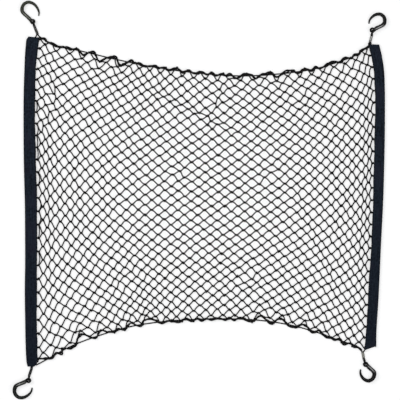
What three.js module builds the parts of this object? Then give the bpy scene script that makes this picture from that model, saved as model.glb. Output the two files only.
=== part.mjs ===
// Cargo net: an elastic boot net lying flat, with a knotted diamond mesh between two folded webbing bands.
// Millimetres, +Z up. The origin is the middle of the net's footprint, on the surface that it lies on.
import * as THREE from 'three';

// --- Driving dimensions -------------------------------------------------------------------------
const SHEET_THICKNESS = 2.0;       // the mesh, as one flat sheet
const STRAND_WIDTH = 4.0;          // width left between two cut gaps
const MESH_COLUMNS = 29;           // whole diamonds of the real mesh, from band to band
const MESH_ROWS = 26;              // whole diamonds from the bottom edge to the top edge
const CUT_PITCH = 2;               // each cut gap stands for a block of 2 by 2 real diamonds
const CUT_REACH_ACROSS = 12;       // cut gaps to each side of the middle, in half pitches
const CUT_REACH_UP = 11;

const WEBBING_THICKNESS = 1.3;     // one layer of the folded band
const BAND_HEIGHT = 5.4;           // both layers with the mesh edge between them
const FOLD_INSIDE = 0.09;          // where the slot ends at the fold, as a share of the band's width
const FOLD_CORNER = 0.05;          // how far the fold's rounding reaches in, as a share of the same
const SLOT_DEPTH_SHARE = 0.74;     // share of the band's width that the mesh edge reaches in
const BAND_STEPS_PER_ROW = 2;
const MESH_LIFT = 1.7;             // height of the mesh's underside between the two layers
const LIFT_RUN = 18;               // length over which the mesh comes down to the surface
const CORNER_RISE = 6;             // how far the mesh's corners are drawn in from the edge cords

const CORD_RADIUS = 1.5;           // 3 mm elastic
const CORD_SIDES = 8;
const CORD_HEIGHT = 1.6;           // centre of a cord that lies on the surface
const EDGE_CORD_STEPS = 52;
const GAP = 0.3;                   // running gap between pieces that touch
const CORD_TO_MESH = CORD_RADIUS + GAP + 0.2;

const FERRULE_LENGTH = 13;
const FERRULE_WIDTH = 6.4;
const FERRULE_HEIGHT = 4.2;
const CORD_SPLAY = 1.65;           // each of the two cords stands this far off the ferrule's axis
const STRAIGHT_LEAD = 1.2;         // a cord leaves the ferrule straight for this length

const EYE_RADIUS = 4.2;            // centre line of the hook's eye
const EYE_WIRE_RADIUS = 2.1;
const EYE_HEIGHT = 5.5;            // centre of the eye's wire, with the cord passing under it
const EYE_OPENS_AT = 48;           // degrees, where the curled end of the wire stops
const EYE_JOINS_AT = 300;          // degrees, where the eye runs out into the shank
const EYE_STEPS = 9;
const HOOK_SIDES = 8;
const HOOK_CLEARANCE = 0.06;       // the wire's underside over the surface, so that its facets stay above it
const BOW_STEPS = 22;

// How unevenly the mesh lies: diamonds are squeezed beside the bands and opened in the middle.
const SIDE_SQUEEZE = 0.15;
const SECOND_SQUEEZE = 0.03;
const SQUEEZE_FADE = 1.5;
const BAND_STRETCH = 0.04;

// --- Shape of the lying net ---------------------------------------------------------------------
// Each row crosses a band: the folded edge outside, then the open edge beside the mesh.
const LEFT_BAND_ROWS = [
  // outerX, outerY, innerX, innerY
  [-409.7, -398.6, -396.0, -399.8],
  [-411.6, -386.6, -386.9, -386.6],
  [-413.8, -348.2, -387.8, -348.2],
  [-415.0, -288.2, -388.8, -288.2],
  [-415.9, -216.2, -388.6, -216.2],
  [-415.0, -149.0, -388.3, -149.0],
  [-415.2, -84.2, -388.1, -84.2],
  [-415.7, -12.2, -388.3, -12.2],
  [-418.1, 83.8, -390.5, 83.8],
  [-418.8, 155.8, -392.6, 155.8],
  [-418.6, 251.8, -392.9, 251.8],
  [-416.8, 311.8, -391.0, 311.8],
  [-415.5, 345.4, -388.3, 345.4],
  [-413.4, 371.8, -385.0, 371.8],
  [-408.8, 391.4, -383.8, 387.8],
];
const RIGHT_BAND_ROWS = [
  // outerX, outerY, innerX, innerY
  [424.8, -352.6, 397.7, -360.0],
  [425.3, -336.2, 401.0, -336.2],
  [426.2, -312.2, 403.7, -312.2],
  [430.8, -240.2, 407.3, -240.2],
  [433.7, -180.2, 410.9, -180.2],
  [437.5, -96.2, 416.2, -96.2],
  [441.8, -12.2, 419.3, -12.2],
  [444.2, 59.8, 421.2, 59.8],
  [445.9, 143.8, 423.1, 143.8],
  [446.4, 203.8, 424.8, 203.8],
  [446.2, 263.8, 424.3, 263.8],
  [444.2, 311.8, 421.4, 311.8],
  [438.6, 347.8, 415.2, 347.8],
  [432.2, 372.2, 412.4, 374.6],
];
// The two elastic edge cords, from the left corner to the right corner.
const TOP_EDGE = [
  [-363.1, 380.2], [-341.8, 369.6], [-286.8, 358.3], [-196.6, 337.0], [-107.8, 319.0], [-9.8, 305.3],
  [99.4, 297.6], [192.2, 302.2], [282.0, 315.1], [343.2, 333.8], [373.7, 345.4], [396.7, 359.8],
];
const BOTTOM_EDGE = [
  [-369.4, -385.7], [-344.9, -371.8], [-307.9, -352.1], [-256.1, -331.4], [-167.5, -305.0], [-89.5, -292.6],
  [4.8, -286.3], [121.9, -287.0], [208.3, -297.8], [278.9, -316.1], [326.2, -332.9], [370.6, -348.2],
];
// The cord's turn from each ferrule to the first point of the edge, ferrule first.
const TURN_INTO_EDGE = {
  top_left: [[-384.6, 394.9], [-374.4, 387.4]],
  top_right: [[407.6, 370.4], [403.6, 366.2]],
  bottom_left: [[-393.8, -402.8], [-384.8, -395.2]],
  bottom_right: [[391.0, -361.2], [385.0, -355.2]],
};
// One row for each corner: the ferrule, the end of the band's cord, the hook's eye and the way the hook lies.
// netSide is 1 where the edge cord leaves on the left of the ferrule's axis, looking toward the net, else -1.
// The hooks were bent one by one, so bow is each one's size against the largest.
const CORNERS = {
  top_left: { ferrule: [-389.3, 405.4], towardNet: [0.38, -0.925], bandCord: [-391.6, 389.5], netSide: 1,
    eye: [-397.6, 427.7], angle: 138, hand: -1, bow: 1 },
  top_right: { ferrule: [413.5, 386.2], towardNet: [-0.26, -0.966], bandCord: [414.6, 374.9], netSide: -1,
    eye: [417.0, 407.2], angle: 25.6, hand: 1, bow: 0.93 },
  bottom_left: { ferrule: [-403.4, -413.0], towardNet: [0.33, 0.944], bandCord: [-401.6, -400.0], netSide: -1,
    eye: [-407.7, -432.9], angle: 202.4, hand: 1, bow: 0.98 },
  bottom_right: { ferrule: [395.0, -372.3], towardNet: [-0.18, 0.984], bandCord: [399.6, -361.3], netSide: 1,
    eye: [400.8, -394.4], angle: -41.5, hand: -1, bow: 0.9 },
};
// The hook from the eye along the shank and round the bow to the tip: x, y and the wire's radius there.
const HOOK_ROUTE = [
  [5.4, -1.9, 2.3], [9.5, -0.2, 2.9], [15.0, 0.0, 3.5], [22.0, 0.0, 3.8], [29.8, 0.2, 3.8],
  [36.0, 1.8, 3.8], [42.4, 9.0, 3.8], [44.2, 18.7, 3.7], [39.1, 28.6, 3.4], [26.9, 33.4, 3.1],
  [13.4, 32.0, 2.5], [2.6, 26.6, 1.9], [-1.9, 20.9, 1.4],
];

const SETTLED_ROW = 2;             // the row of the hook's route where its wire has come down to the surface
const SHANK_ROWS = 4;              // rows before the bow, over which a hook takes on its own size

// --- Materials ----------------------------------------------------------------------------------
const twine = new THREE.MeshStandardMaterial({ color: 0x15161a, roughness: 0.85, metalness: 0 });
const webbing = new THREE.MeshStandardMaterial({ color: 0x1b2735, roughness: 0.8, metalness: 0 });
const elastic = new THREE.MeshStandardMaterial({ color: 0x121316, roughness: 0.7, metalness: 0 });
const hookSteel = new THREE.MeshStandardMaterial({ color: 0x3a3a36, roughness: 0.4, metalness: 0.8 });
const ferruleAlloy = new THREE.MeshStandardMaterial({ color: 0xb8b6ac, roughness: 0.35, metalness: 0.9 });

const UP = new THREE.Vector3(0, 0, 1);
const flat = ([x, y], z = 0) => new THREE.Vector3(x, y, z);
const smoothCurve = (points) => new THREE.CatmullRomCurve3(points, false, 'centripetal');

// --- Sweeping a section along stations ----------------------------------------------------------
// A section is extruded straight, one step for each station, and each corner is then carried to its place.
function loft(section, steps, place) {
  const geometry = new THREE.ExtrudeGeometry(section, { depth: steps, steps, bevelEnabled: false });
  const corners = geometry.attributes.position;
  for (let i = 0; i < corners.count; i += 1) {
    const station = Math.round(corners.getZ(i));
    const spot = place(corners.getX(i), corners.getY(i), station);
    corners.setXYZ(i, spot.x, spot.y, spot.z);
  }
  geometry.computeVertexNormals();
  return geometry;
}

function roundSection(sides) {
  const shape = new THREE.Shape();
  for (let i = 0; i < sides; i += 1) {
    const angle = ((i + 0.5) / sides) * 2 * Math.PI;
    if (i === 0) shape.moveTo(Math.cos(angle), Math.sin(angle));
    else shape.lineTo(Math.cos(angle), Math.sin(angle));
  }
  shape.closePath();
  return shape;
}

function tangentAt(points, i) {
  const before = points[Math.max(i - 1, 0)];
  const after = points[Math.min(i + 1, points.length - 1)];
  return after.clone().sub(before).normalize();
}

// A round bar along a route that stays nearly level: every ring stands upright.
function levelBar(points, radii, sides) {
  const across = points.map((_, i) => UP.clone().cross(tangentAt(points, i).setZ(0).normalize()));
  return loft(roundSection(sides), points.length - 1, (x, y, i) => (
    points[i].clone().addScaledVector(across[i], x * radii[i]).addScaledVector(UP, y * radii[i])
  ));
}

// A round bar along a route in an upright plane, square to the level direction `across`.
function uprightBar(points, radius, sides, across) {
  const raised = points.map((_, i) => tangentAt(points, i).cross(across).normalize());
  return loft(roundSection(sides), points.length - 1, (x, y, i) => (
    points[i].clone().addScaledVector(across, x * radius).addScaledVector(raised[i], y * radius)
  ));
}

// --- The folded bands ---------------------------------------------------------------------------
// x runs from the fold (0) to the open edge (1); y is the height.
function foldSection() {
  const top = BAND_HEIGHT;
  const layer = WEBBING_THICKNESS;
  const outline = [
    [1, 0], [1, layer], [FOLD_INSIDE, layer], [FOLD_INSIDE, top - layer], [1, top - layer], [1, top],
    [FOLD_CORNER, top], [FOLD_CORNER / 4, 0.85 * top], [0, 0.5 * top], [FOLD_CORNER / 4, 0.15 * top],
    [FOLD_CORNER, 0],
  ];
  return new THREE.Shape(outline.map(([x, y]) => new THREE.Vector2(x, y)));
}

function bandEdges(rows) {
  const outer = smoothCurve(rows.map(([x, y]) => flat([x, y])));
  const inner = smoothCurve(rows.map(([, , x, y]) => flat([x, y])));
  const steps = (rows.length - 1) * BAND_STEPS_PER_ROW;
  return { outer: outer.getPoints(steps), inner: inner.getPoints(steps), steps };
}

const leftBand = bandEdges(LEFT_BAND_ROWS);
const rightBand = bandEdges(RIGHT_BAND_ROWS);

function bandGeometry(band, mirrored) {
  const place = (x, y, i) => {
    const station = mirrored ? band.steps - i : i;
    return band.outer[station].clone().lerp(band.inner[station], x).setZ(y);
  };
  return loft(foldSection(), band.steps, place);
}

// --- The cords along the top and bottom edges ---------------------------------------------------
// A point straight in front of one end of the ferrule, on one side of its axis: `way` is 1 for the end
// toward the net and -1 for the end toward the hook.
function beforeFerrule(corner, way, side, distance) {
  const axis = flat(corner.towardNet).normalize().multiplyScalar(way);
  const lateral = UP.clone().cross(axis).multiplyScalar(side * CORD_SPLAY);
  return flat(corner.ferrule, FERRULE_HEIGHT / 2)
    .addScaledVector(axis, FERRULE_LENGTH / 2 + distance)
    .add(lateral);
}

function edgeCordStations(edge, leftName, rightName) {
  const start = (name) => {
    const side = CORNERS[name].netSide;
    return [
      beforeFerrule(CORNERS[name], 1, side, GAP),
      beforeFerrule(CORNERS[name], 1, side, GAP + STRAIGHT_LEAD),
      ...TURN_INTO_EDGE[name].map((point) => flat(point, CORD_HEIGHT)),
    ];
  };
  const route = smoothCurve([
    ...start(leftName), ...edge.map((point) => flat(point, CORD_HEIGHT)), ...start(rightName).reverse(),
  ]);
  return route.getPoints(EDGE_CORD_STEPS);
}

const topCord = edgeCordStations(TOP_EDGE, 'top_left', 'top_right');
const bottomCord = edgeCordStations(BOTTOM_EDGE, 'bottom_left', 'bottom_right');

// --- The mesh -----------------------------------------------------------------------------------
// Across goes from 0 at the left band to 1 at the right, and up from 0 at the bottom edge to 1 at the top.
const meshCorners = {
  bottomLeft: flat([-386.9, -386.6]),
  bottomRight: flat([398.4, -355.4]),
  topLeft: flat([-383.8, 387.4]),
  topRight: flat([410.6, 374.2]),
};
const meshTop = smoothCurve([
  meshCorners.topLeft, ...TOP_EDGE.map((point) => flat(point)), meshCorners.topRight,
]);
const meshBottom = smoothCurve([
  meshCorners.bottomLeft, ...BOTTOM_EDGE.map((point) => flat(point)), meshCorners.bottomRight,
]);
const meshSide = (rows, low, high) => smoothCurve([
  low, ...rows.slice(2, -1).map(([, , x, y]) => flat([x, y])), high,
]);
const meshLeft = meshSide(LEFT_BAND_ROWS, meshCorners.bottomLeft, meshCorners.topLeft);
const meshRight = meshSide(RIGHT_BAND_ROWS, meshCorners.bottomRight, meshCorners.topRight);

// Where a point of the made mesh lies, given in half diamonds from its bottom left corner.
function meshPoint(halfColumns, halfRows) {
  const across = halfColumns / (2 * MESH_COLUMNS);
  const up = halfRows / (2 * MESH_ROWS);
  const turn = 2 * Math.PI * across;
  const middle = Math.sin(Math.PI * up) ** SQUEEZE_FADE;
  const pull = SIDE_SQUEEZE * Math.sin(turn) + (SECOND_SQUEEZE / 2) * Math.sin(2 * turn);
  const u = across - (middle * pull) / (2 * Math.PI);
  const side = Math.cos(Math.PI * across) ** 2;
  const v = up - (BAND_STRETCH * side * Math.sin(2 * Math.PI * up)) / (2 * Math.PI);
  const point = new THREE.Vector3();
  point.addScaledVector(meshBottom.getPointAt(u), 1 - v).addScaledVector(meshTop.getPointAt(u), v);
  point.addScaledVector(meshLeft.getPointAt(v), 1 - u).addScaledVector(meshRight.getPointAt(v), u);
  point.addScaledVector(meshCorners.bottomLeft, -(1 - u) * (1 - v));
  point.addScaledVector(meshCorners.bottomRight, -u * (1 - v));
  point.addScaledVector(meshCorners.topLeft, -(1 - u) * v);
  point.addScaledVector(meshCorners.topRight, -u * v);
  return point;
}

// The cut gap keeps half a strand's width on each of its four sides.
function gapOutline(column, row) {
  const corners = [
    meshPoint(column - CUT_PITCH, row), meshPoint(column, row - CUT_PITCH),
    meshPoint(column + CUT_PITCH, row), meshPoint(column, row + CUT_PITCH),
  ];
  const centre = new THREE.Vector3();
  corners.forEach((corner) => centre.addScaledVector(corner, 0.25));
  const halfWidth = corners[0].distanceTo(corners[2]) / 2;
  const halfHeight = corners[1].distanceTo(corners[3]) / 2;
  const keep = 1 - (STRAND_WIDTH / 2) * (Math.hypot(halfWidth, halfHeight) / (halfWidth * halfHeight));
  return corners.map((corner) => centre.clone().lerp(corner, keep)).reverse();
}

function cutGaps() {
  const gaps = [];
  for (let i = -CUT_REACH_ACROSS; i <= CUT_REACH_ACROSS; i += 1) {
    for (let j = -CUT_REACH_UP; j <= CUT_REACH_UP; j += 1) {
      const isGap = Math.abs(i + j) % 2 === 1;
      if (isGap) gaps.push(gapOutline(MESH_COLUMNS + CUT_PITCH * i, MESH_ROWS + CUT_PITCH * j));
    }
  }
  return gaps;
}

// The lines down one side of the mesh: its edge in the slot, the band's mouth, and where it lies flat.
function sideLines(band, firstStation, lastStation, inward) {
  const lines = { slot: [], mouth: [], landing: [] };
  for (let i = firstStation; i <= lastStation; i += 1) {
    const mouth = band.inner[i];
    let rise = 0;
    if (i === firstStation) rise = CORNER_RISE;
    if (i === lastStation) rise = -CORNER_RISE;
    lines.slot.push(mouth.clone().lerp(band.outer[i], SLOT_DEPTH_SHARE).setZ(MESH_LIFT));
    lines.mouth.push(mouth.clone().setZ(MESH_LIFT));
    lines.landing.push(new THREE.Vector3(mouth.x + inward * LIFT_RUN, mouth.y + rise, 0));
  }
  return lines;
}

// The mesh's edge runs beside the cord, a little to its inner side.
function besideCord(cord, inwardSign, fromX, toX) {
  const margin = 6;
  return cord
    .map((point, i) => {
      const inward = UP.clone().cross(tangentAt(cord, i).setZ(0).normalize()).multiplyScalar(inwardSign);
      return point.clone().setZ(0).addScaledVector(inward, CORD_TO_MESH);
    })
    .filter((point) => point.x > fromX + margin && point.x < toX - margin);
}

// A closed sheet from flat regions that share their border points; z of a point is the sheet's underside.
function sheetGeometry(regions, thickness) {
  const places = new Map();
  const positions = [];
  const pointNumber = (point) => {
    const key = `${point.x.toFixed(4)},${point.y.toFixed(4)}`;
    if (!places.has(key)) {
      places.set(key, positions.length / 6);
      positions.push(point.x, point.y, point.z, point.x, point.y, point.z + thickness);
    }
    return places.get(key);
  };
  const faces = [];
  const openSides = new Map();
  for (const { outline, holes } of regions) {
    const points = [outline, ...holes].flat();
    for (const corners of THREE.ShapeUtils.triangulateShape(outline, holes)) {
      const [p, q, r] = corners.map((corner) => points[corner]);
      const turn = (q.x - p.x) * (r.y - p.y) - (q.y - p.y) * (r.x - p.x);
      const numbers = (turn > 0 ? [p, q, r] : [p, r, q]).map(pointNumber);
      const [a, b, c] = numbers;
      faces.push(2 * a + 1, 2 * b + 1, 2 * c + 1, 2 * a, 2 * c, 2 * b);
      for (const [from, to] of [[a, b], [b, c], [c, a]]) {
        if (!openSides.delete(`${to}|${from}`)) openSides.set(`${from}|${to}`, [from, to]);
      }
    }
  }
  for (const [from, to] of openSides.values()) {
    faces.push(2 * from, 2 * to, 2 * to + 1, 2 * from, 2 * to + 1, 2 * from + 1);
  }
  const geometry = new THREE.BufferGeometry();
  geometry.setAttribute('position', new THREE.Float32BufferAttribute(positions, 3));
  geometry.setIndex(faces);
  geometry.computeVertexNormals();
  return geometry;
}

function meshGeometry() {
  const left = sideLines(leftBand, 2, leftBand.steps - 1, 1);
  const right = sideLines(rightBand, 1, rightBand.steps - 1, -1);
  const last = (line) => line[line.length - 1];
  const bottom = besideCord(bottomCord, 1, left.landing[0].x, right.landing[0].x);
  const top = besideCord(topCord, -1, last(left.landing).x, last(right.landing).x);
  const strip = (outer, inner) => ({ outline: [...outer, ...[...inner].reverse()], holes: [] });
  const middle = {
    outline: [...left.landing].reverse().concat(bottom, right.landing, [...top].reverse()),
    holes: cutGaps(),
  };
  const regions = [
    strip(left.slot, left.mouth), strip(left.mouth, left.landing), middle,
    strip(right.landing, right.mouth), strip(right.mouth, right.slot),
  ];
  return sheetGeometry(regions, SHEET_THICKNESS);
}

// --- Ferrules, cords and hooks at a corner ------------------------------------------------------
function ferruleGeometry(corner) {
  const radius = FERRULE_HEIGHT / 2;
  const reach = FERRULE_WIDTH / 2 - radius;
  const section = new THREE.Shape();
  section.absarc(reach, 0, radius, -Math.PI / 2, Math.PI / 2, false);
  section.absarc(-reach, 0, radius, Math.PI / 2, (3 * Math.PI) / 2, false);
  const geometry = new THREE.ExtrudeGeometry(section, {
    depth: FERRULE_LENGTH, bevelEnabled: false, curveSegments: 6,
  });
  geometry.translate(0, 0, -FERRULE_LENGTH / 2);
  const axis = flat(corner.towardNet).normalize();
  const basis = new THREE.Matrix4().makeBasis(UP.clone().cross(axis), UP, axis);
  geometry.applyMatrix4(basis);
  geometry.translate(corner.ferrule[0], corner.ferrule[1], radius);
  return geometry;
}

function bandCordGeometry(corner) {
  const start = beforeFerrule(corner, 1, -corner.netSide, GAP);
  const lead = beforeFerrule(corner, 1, -corner.netSide, GAP + STRAIGHT_LEAD);
  const end = flat(corner.bandCord, BAND_HEIGHT / 2);
  const points = smoothCurve([start, lead, end]).getPoints(6);
  return levelBar(points, points.map(() => CORD_RADIUS), CORD_SIDES);
}

// The elastic leaves the ferrule, climbs over the eye's wire, drops through the eye and comes back under it.
function hookLoopGeometry(corner) {
  const start = beforeFerrule(corner, -1, 0, GAP + STRAIGHT_LEAD);
  const eye = flat(corner.eye, FERRULE_HEIGHT / 2);
  const along = eye.clone().sub(start).normalize();
  const across = UP.clone().cross(along);
  const wireAt = start.distanceTo(eye) - EYE_RADIUS;
  const turnRadius = EYE_WIRE_RADIUS + CORD_RADIUS + GAP;
  const rise = EYE_HEIGHT - FERRULE_HEIGHT / 2;
  const slope = Math.atan2(rise, wireAt);
  const spread = Math.asin(turnRadius / Math.hypot(rise, wireAt));
  const spot = (distance, lateral, height) => start.clone()
    .addScaledVector(along, distance).addScaledVector(across, lateral).addScaledVector(UP, height);
  const onTurn = (angle) => [wireAt + turnRadius * Math.cos(angle), rise + turnRadius * Math.sin(angle)];
  const topAngle = slope + spread + Math.PI / 2;
  const lowAngle = slope - spread - Math.PI / 2;
  const legSteps = 4;
  const turnSteps = 10;
  const leg = (angle, side) => {
    const [distance, height] = onTurn(angle);
    const points = [beforeFerrule(corner, -1, side, GAP)];
    for (let i = 0; i < legSteps; i += 1) {
      const f = i / legSteps;
      points.push(spot(distance * f, side * CORD_SPLAY * (1 - f * f), height * f));
    }
    return points;
  };
  const turn = [];
  for (let i = 0; i <= turnSteps; i += 1) {
    const [distance, height] = onTurn(topAngle + ((lowAngle - topAngle) * i) / turnSteps);
    turn.push(spot(distance, 0, height));
  }
  const route = [...leg(topAngle, 1), ...turn, ...leg(lowAngle, -1).reverse()];
  return uprightBar(route, CORD_RADIUS, CORD_SIDES, across);
}

function hookGeometry(bow) {
  const sitting = Math.cos(Math.PI / HOOK_SIDES);
  const points = [];
  const radii = [];
  for (let i = 0; i <= EYE_STEPS; i += 1) {
    const degrees = EYE_OPENS_AT + ((EYE_JOINS_AT - EYE_OPENS_AT) * i) / EYE_STEPS;
    const angle = THREE.MathUtils.degToRad(degrees);
    points.push(new THREE.Vector3(EYE_RADIUS * Math.cos(angle), EYE_RADIUS * Math.sin(angle), EYE_HEIGHT));
    radii.push(EYE_WIRE_RADIUS);
  }
  // beyond the eye the wire thickens and settles until its underside lies on the surface
  const eyeEnd = points[points.length - 1];
  const sized = HOOK_ROUTE.map((row, i) => {
    const size = THREE.MathUtils.lerp(1, bow, Math.min(i / SHANK_ROWS, 1));
    return row.map((value) => value * size);
  });
  const route = smoothCurve([eyeEnd, ...sized.map(([x, y, radius], i) => {
    const lying = radius * sitting + HOOK_CLEARANCE;
    const settled = i < SETTLED_ROW ? (x - eyeEnd.x) / (sized[SETTLED_ROW][0] - eyeEnd.x) : 1;
    return new THREE.Vector3(x, y, THREE.MathUtils.lerp(EYE_HEIGHT, lying, settled));
  })]);
  const wire = [EYE_WIRE_RADIUS, ...sized.map(([, , radius]) => radius)];
  for (let i = 1; i <= BOW_STEPS; i += 1) {
    const share = i / BOW_STEPS;
    const spot = share * (wire.length - 1);
    const k = Math.min(Math.floor(spot), wire.length - 2);
    points.push(route.getPoint(share));
    radii.push(THREE.MathUtils.lerp(wire[k], wire[k + 1], spot - k));
  }
  return levelBar(points, radii, HOOK_SIDES);
}

// A left-handed hook is the same wire turned over in plan, so its faces are wound the other way.
function mirrored(geometry) {
  const copy = geometry.clone().scale(1, -1, 1);
  const corners = copy.attributes.position;
  for (let i = 0; i < corners.count; i += 3) {
    const second = new THREE.Vector3().fromBufferAttribute(corners, i + 1);
    const third = new THREE.Vector3().fromBufferAttribute(corners, i + 2);
    corners.setXYZ(i + 1, third.x, third.y, third.z);
    corners.setXYZ(i + 2, second.x, second.y, second.z);
  }
  copy.computeVertexNormals();
  return copy;
}

// --- The whole net ------------------------------------------------------------------------------
const cargoNet = new THREE.Group();

function addPiece(parent, name, geometry, material) {
  const mesh = new THREE.Mesh(geometry, material);
  mesh.name = name;
  parent.add(mesh);
  return mesh;
}

addPiece(cargoNet, 'net_panel', meshGeometry(), twine);
addPiece(cargoNet, 'band_left', bandGeometry(leftBand, true), webbing);
addPiece(cargoNet, 'band_right', bandGeometry(rightBand, false), webbing);
for (const [name, stations] of [['edge_cord_top', topCord], ['edge_cord_bottom', bottomCord]]) {
  addPiece(cargoNet, name, levelBar(stations, stations.map(() => CORD_RADIUS), CORD_SIDES), elastic);
}

for (const [name, corner] of Object.entries(CORNERS)) {
  addPiece(cargoNet, `ferrule_${name}`, ferruleGeometry(corner), ferruleAlloy);
  addPiece(cargoNet, `band_cord_${name}`, bandCordGeometry(corner), elastic);
  addPiece(cargoNet, `hook_loop_${name}`, hookLoopGeometry(corner), elastic);
  const wire = hookGeometry(corner.bow);
  const hook = addPiece(cargoNet, `hook_${name}`, corner.hand > 0 ? wire : mirrored(wire), hookSteel);
  hook.position.set(corner.eye[0], corner.eye[1], 0);
  hook.rotation.z = THREE.MathUtils.degToRad(corner.angle);
}

export default cargoNet;
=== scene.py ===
# %% [markdown]
# # A cargo net, lying flat
# This lesson builds an elastic boot net: a black knotted mesh between two folded webbing bands, an
# elastic along the top and the bottom, and a bent wire hook at each corner on a crimped loop. The packed
# model gives each part's place, so every new piece is made right where it belongs, in metres.
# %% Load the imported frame
import math
from collections import namedtuple

import bpy
import numpy as np
from mathutils import Matrix, Vector


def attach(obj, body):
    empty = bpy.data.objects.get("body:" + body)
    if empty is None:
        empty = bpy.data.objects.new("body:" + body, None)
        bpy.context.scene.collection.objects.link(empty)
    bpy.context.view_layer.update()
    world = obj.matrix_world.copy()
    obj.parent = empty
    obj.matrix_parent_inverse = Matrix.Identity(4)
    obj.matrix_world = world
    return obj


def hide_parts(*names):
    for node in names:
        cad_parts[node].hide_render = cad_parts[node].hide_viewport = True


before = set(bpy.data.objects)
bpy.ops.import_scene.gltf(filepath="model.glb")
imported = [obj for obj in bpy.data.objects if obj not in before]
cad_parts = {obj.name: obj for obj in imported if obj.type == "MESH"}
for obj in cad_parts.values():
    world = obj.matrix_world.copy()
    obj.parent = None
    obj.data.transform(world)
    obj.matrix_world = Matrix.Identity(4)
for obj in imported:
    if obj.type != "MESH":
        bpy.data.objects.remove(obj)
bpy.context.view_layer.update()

MM = 0.001
print("nodes in the frame:", len(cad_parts))

# %% [markdown]
# ## Camera
# The net is looked at from straight above. A long lens from far away keeps the hooks at the corners as
# upright as the mesh in the middle, which a short lens close by wouldn't do.
# %% Camera
FLOOR_SHOWN = 0.96  # side of the square of floor in view
CAMERA_HEIGHT = 8.0
SENSOR_WIDTH = 36.0  # millimetres, as on the camera itself
VIEW_CENTRE = (0.0036, -0.0002)

bpy.ops.object.camera_add(location=(*VIEW_CENTRE, CAMERA_HEIGHT), rotation=(0, 0, 0))
camera = bpy.context.object
camera.data.sensor_width = SENSOR_WIDTH
camera.data.lens = SENSOR_WIDTH * CAMERA_HEIGHT / FLOOR_SHOWN
bpy.context.scene.camera = camera
print("lens:", round(camera.data.lens), "mm")

# %% [markdown]
# ## Curves through named points
# The elastics, the bands and the wire all follow smooth curves through a few measured points. This is the
# centripetal Catmull-Rom curve: it goes through every point and doesn't overshoot between near ones.
# %% Smooth curves


def smooth_curve(points, steps=24):
    """Points on a curve through all the given ones, a fixed number of steps for each span."""
    points = np.asarray(points, float)
    ends = [2 * points[0] - points[1], *points, 2 * points[-1] - points[-2]]
    made = []
    t = np.linspace(0, 1, steps, endpoint=False)[:, None]
    for before, start, end, after in zip(ends, ends[1:], ends[2:], ends[3:]):
        d0, d1, d2 = (max(np.linalg.norm(b - a) ** 0.5, 1e-9)
                      for a, b in ((before, start), (start, end), (end, after)))
        leaving = ((start - before) / d0 - (end - before) / (d0 + d1) + (end - start) / d1) * d1
        arriving = ((end - start) / d1 - (after - start) / (d1 + d2) + (after - end) / d2) * d1
        made.append((2 * t**3 - 3 * t**2 + 1) * start + (t**3 - 2 * t**2 + t) * leaving
                    + (3 * t**2 - 2 * t**3) * end + (t**3 - t**2) * arriving)
    return np.vstack([*made, points[-1:]])


def travelled(line):
    """How far along the line each of its points is."""
    return np.r_[0, np.cumsum(np.linalg.norm(np.diff(line, axis=0), axis=1))]


def length_of(line):
    return float(np.linalg.norm(np.diff(line, axis=0), axis=1).sum())


def at_share(line, share):
    """The points at these shares of the line's length, from 0 to 1."""
    along = travelled(line)
    return np.stack([np.interp(np.asarray(share) * along[-1], along, line[:, k])
                     for k in range(line.shape[1])], axis=-1)


def unit(vectors):
    return vectors / np.maximum(np.linalg.norm(vectors, axis=-1, keepdims=True), 1e-12)


def with_height(plan, heights):
    """Points seen from above, each with its height."""
    return np.concatenate([plan, heights[..., None]], axis=-1)


# %% [markdown]
# ## Round bars as one joined mesh
# Twine, elastic and thread are all round bars. Thousands of them are made at once from arrays: a ring of
# corners at each point of each route, turned as little as possible from ring to ring, with the ends
# closed. The bars keep a UV map that holds the length along the bar in metres and the turn round it from
# 0 to 1, so a twist or a braid can follow them later.
# %% Joined bars


def corner_uvs(*pairs):
    """The UVs of many faces, from one pair of arrays for each corner of a face."""
    return np.stack([np.stack(pair, axis=-1) for pair in pairs], axis=-2).reshape(-1, len(pairs), 2)


def bars(routes, radii, sides):
    """Corners, faces and UVs of round bars along routes of an equal number of points."""
    routes = np.asarray(routes, float)
    count, rings = routes.shape[:2]
    radii = np.broadcast_to(radii, (count, rings))
    ahead = unit(np.gradient(routes, axis=1))
    side = np.cross([0, 0, 1.0], ahead[:, 0])
    side[np.linalg.norm(side, axis=1) < 1e-6] = (1, 0, 0)
    sideways = np.empty_like(routes)
    for ring in range(rings):
        side = unit(side - (side * ahead[:, ring]).sum(1, keepdims=True) * ahead[:, ring])
        sideways[:, ring] = side
    raised = np.cross(ahead, sideways)
    turn = 2 * np.pi * (np.arange(sides) + 0.5) / sides
    ring_shape = np.cos(turn)[:, None] * sideways[:, :, None] + np.sin(turn)[:, None] * raised[:, :, None]
    corners = (routes[:, :, None] + radii[:, :, None, None] * ring_shape).reshape(-1, 3)

    number = np.arange(count * rings * sides).reshape(count, rings, sides)
    beside = np.roll(number, -1, axis=2)
    walls = np.stack([number[:, :-1], beside[:, :-1], beside[:, 1:], number[:, 1:]], axis=-1).reshape(-1, 4)
    caps = np.concatenate([number[:, 0, ::-1], number[:, -1]])

    steps = np.linalg.norm(np.diff(routes, axis=1), axis=2)
    along = np.concatenate([np.zeros((count, 1)), np.cumsum(steps, axis=1)], axis=1)
    shape = (count, rings - 1, sides)
    start, end = (np.broadcast_to(a[:, :, None], shape) for a in (along[:, :-1], along[:, 1:]))
    low = np.broadcast_to(np.arange(sides) / sides, shape)
    high = low + 1 / sides
    wall_uv = corner_uvs((start, low), (start, high), (end, high), (end, low))
    cap_uv = np.zeros((*caps.shape, 2))
    cap_uv[..., 0] = np.concatenate([along[:, 0], along[:, -1]])[:, None]
    cap_uv[..., 1] = np.linspace(0, 1, sides)
    return corners, [(walls, wall_uv), (caps, cap_uv)]


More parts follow.
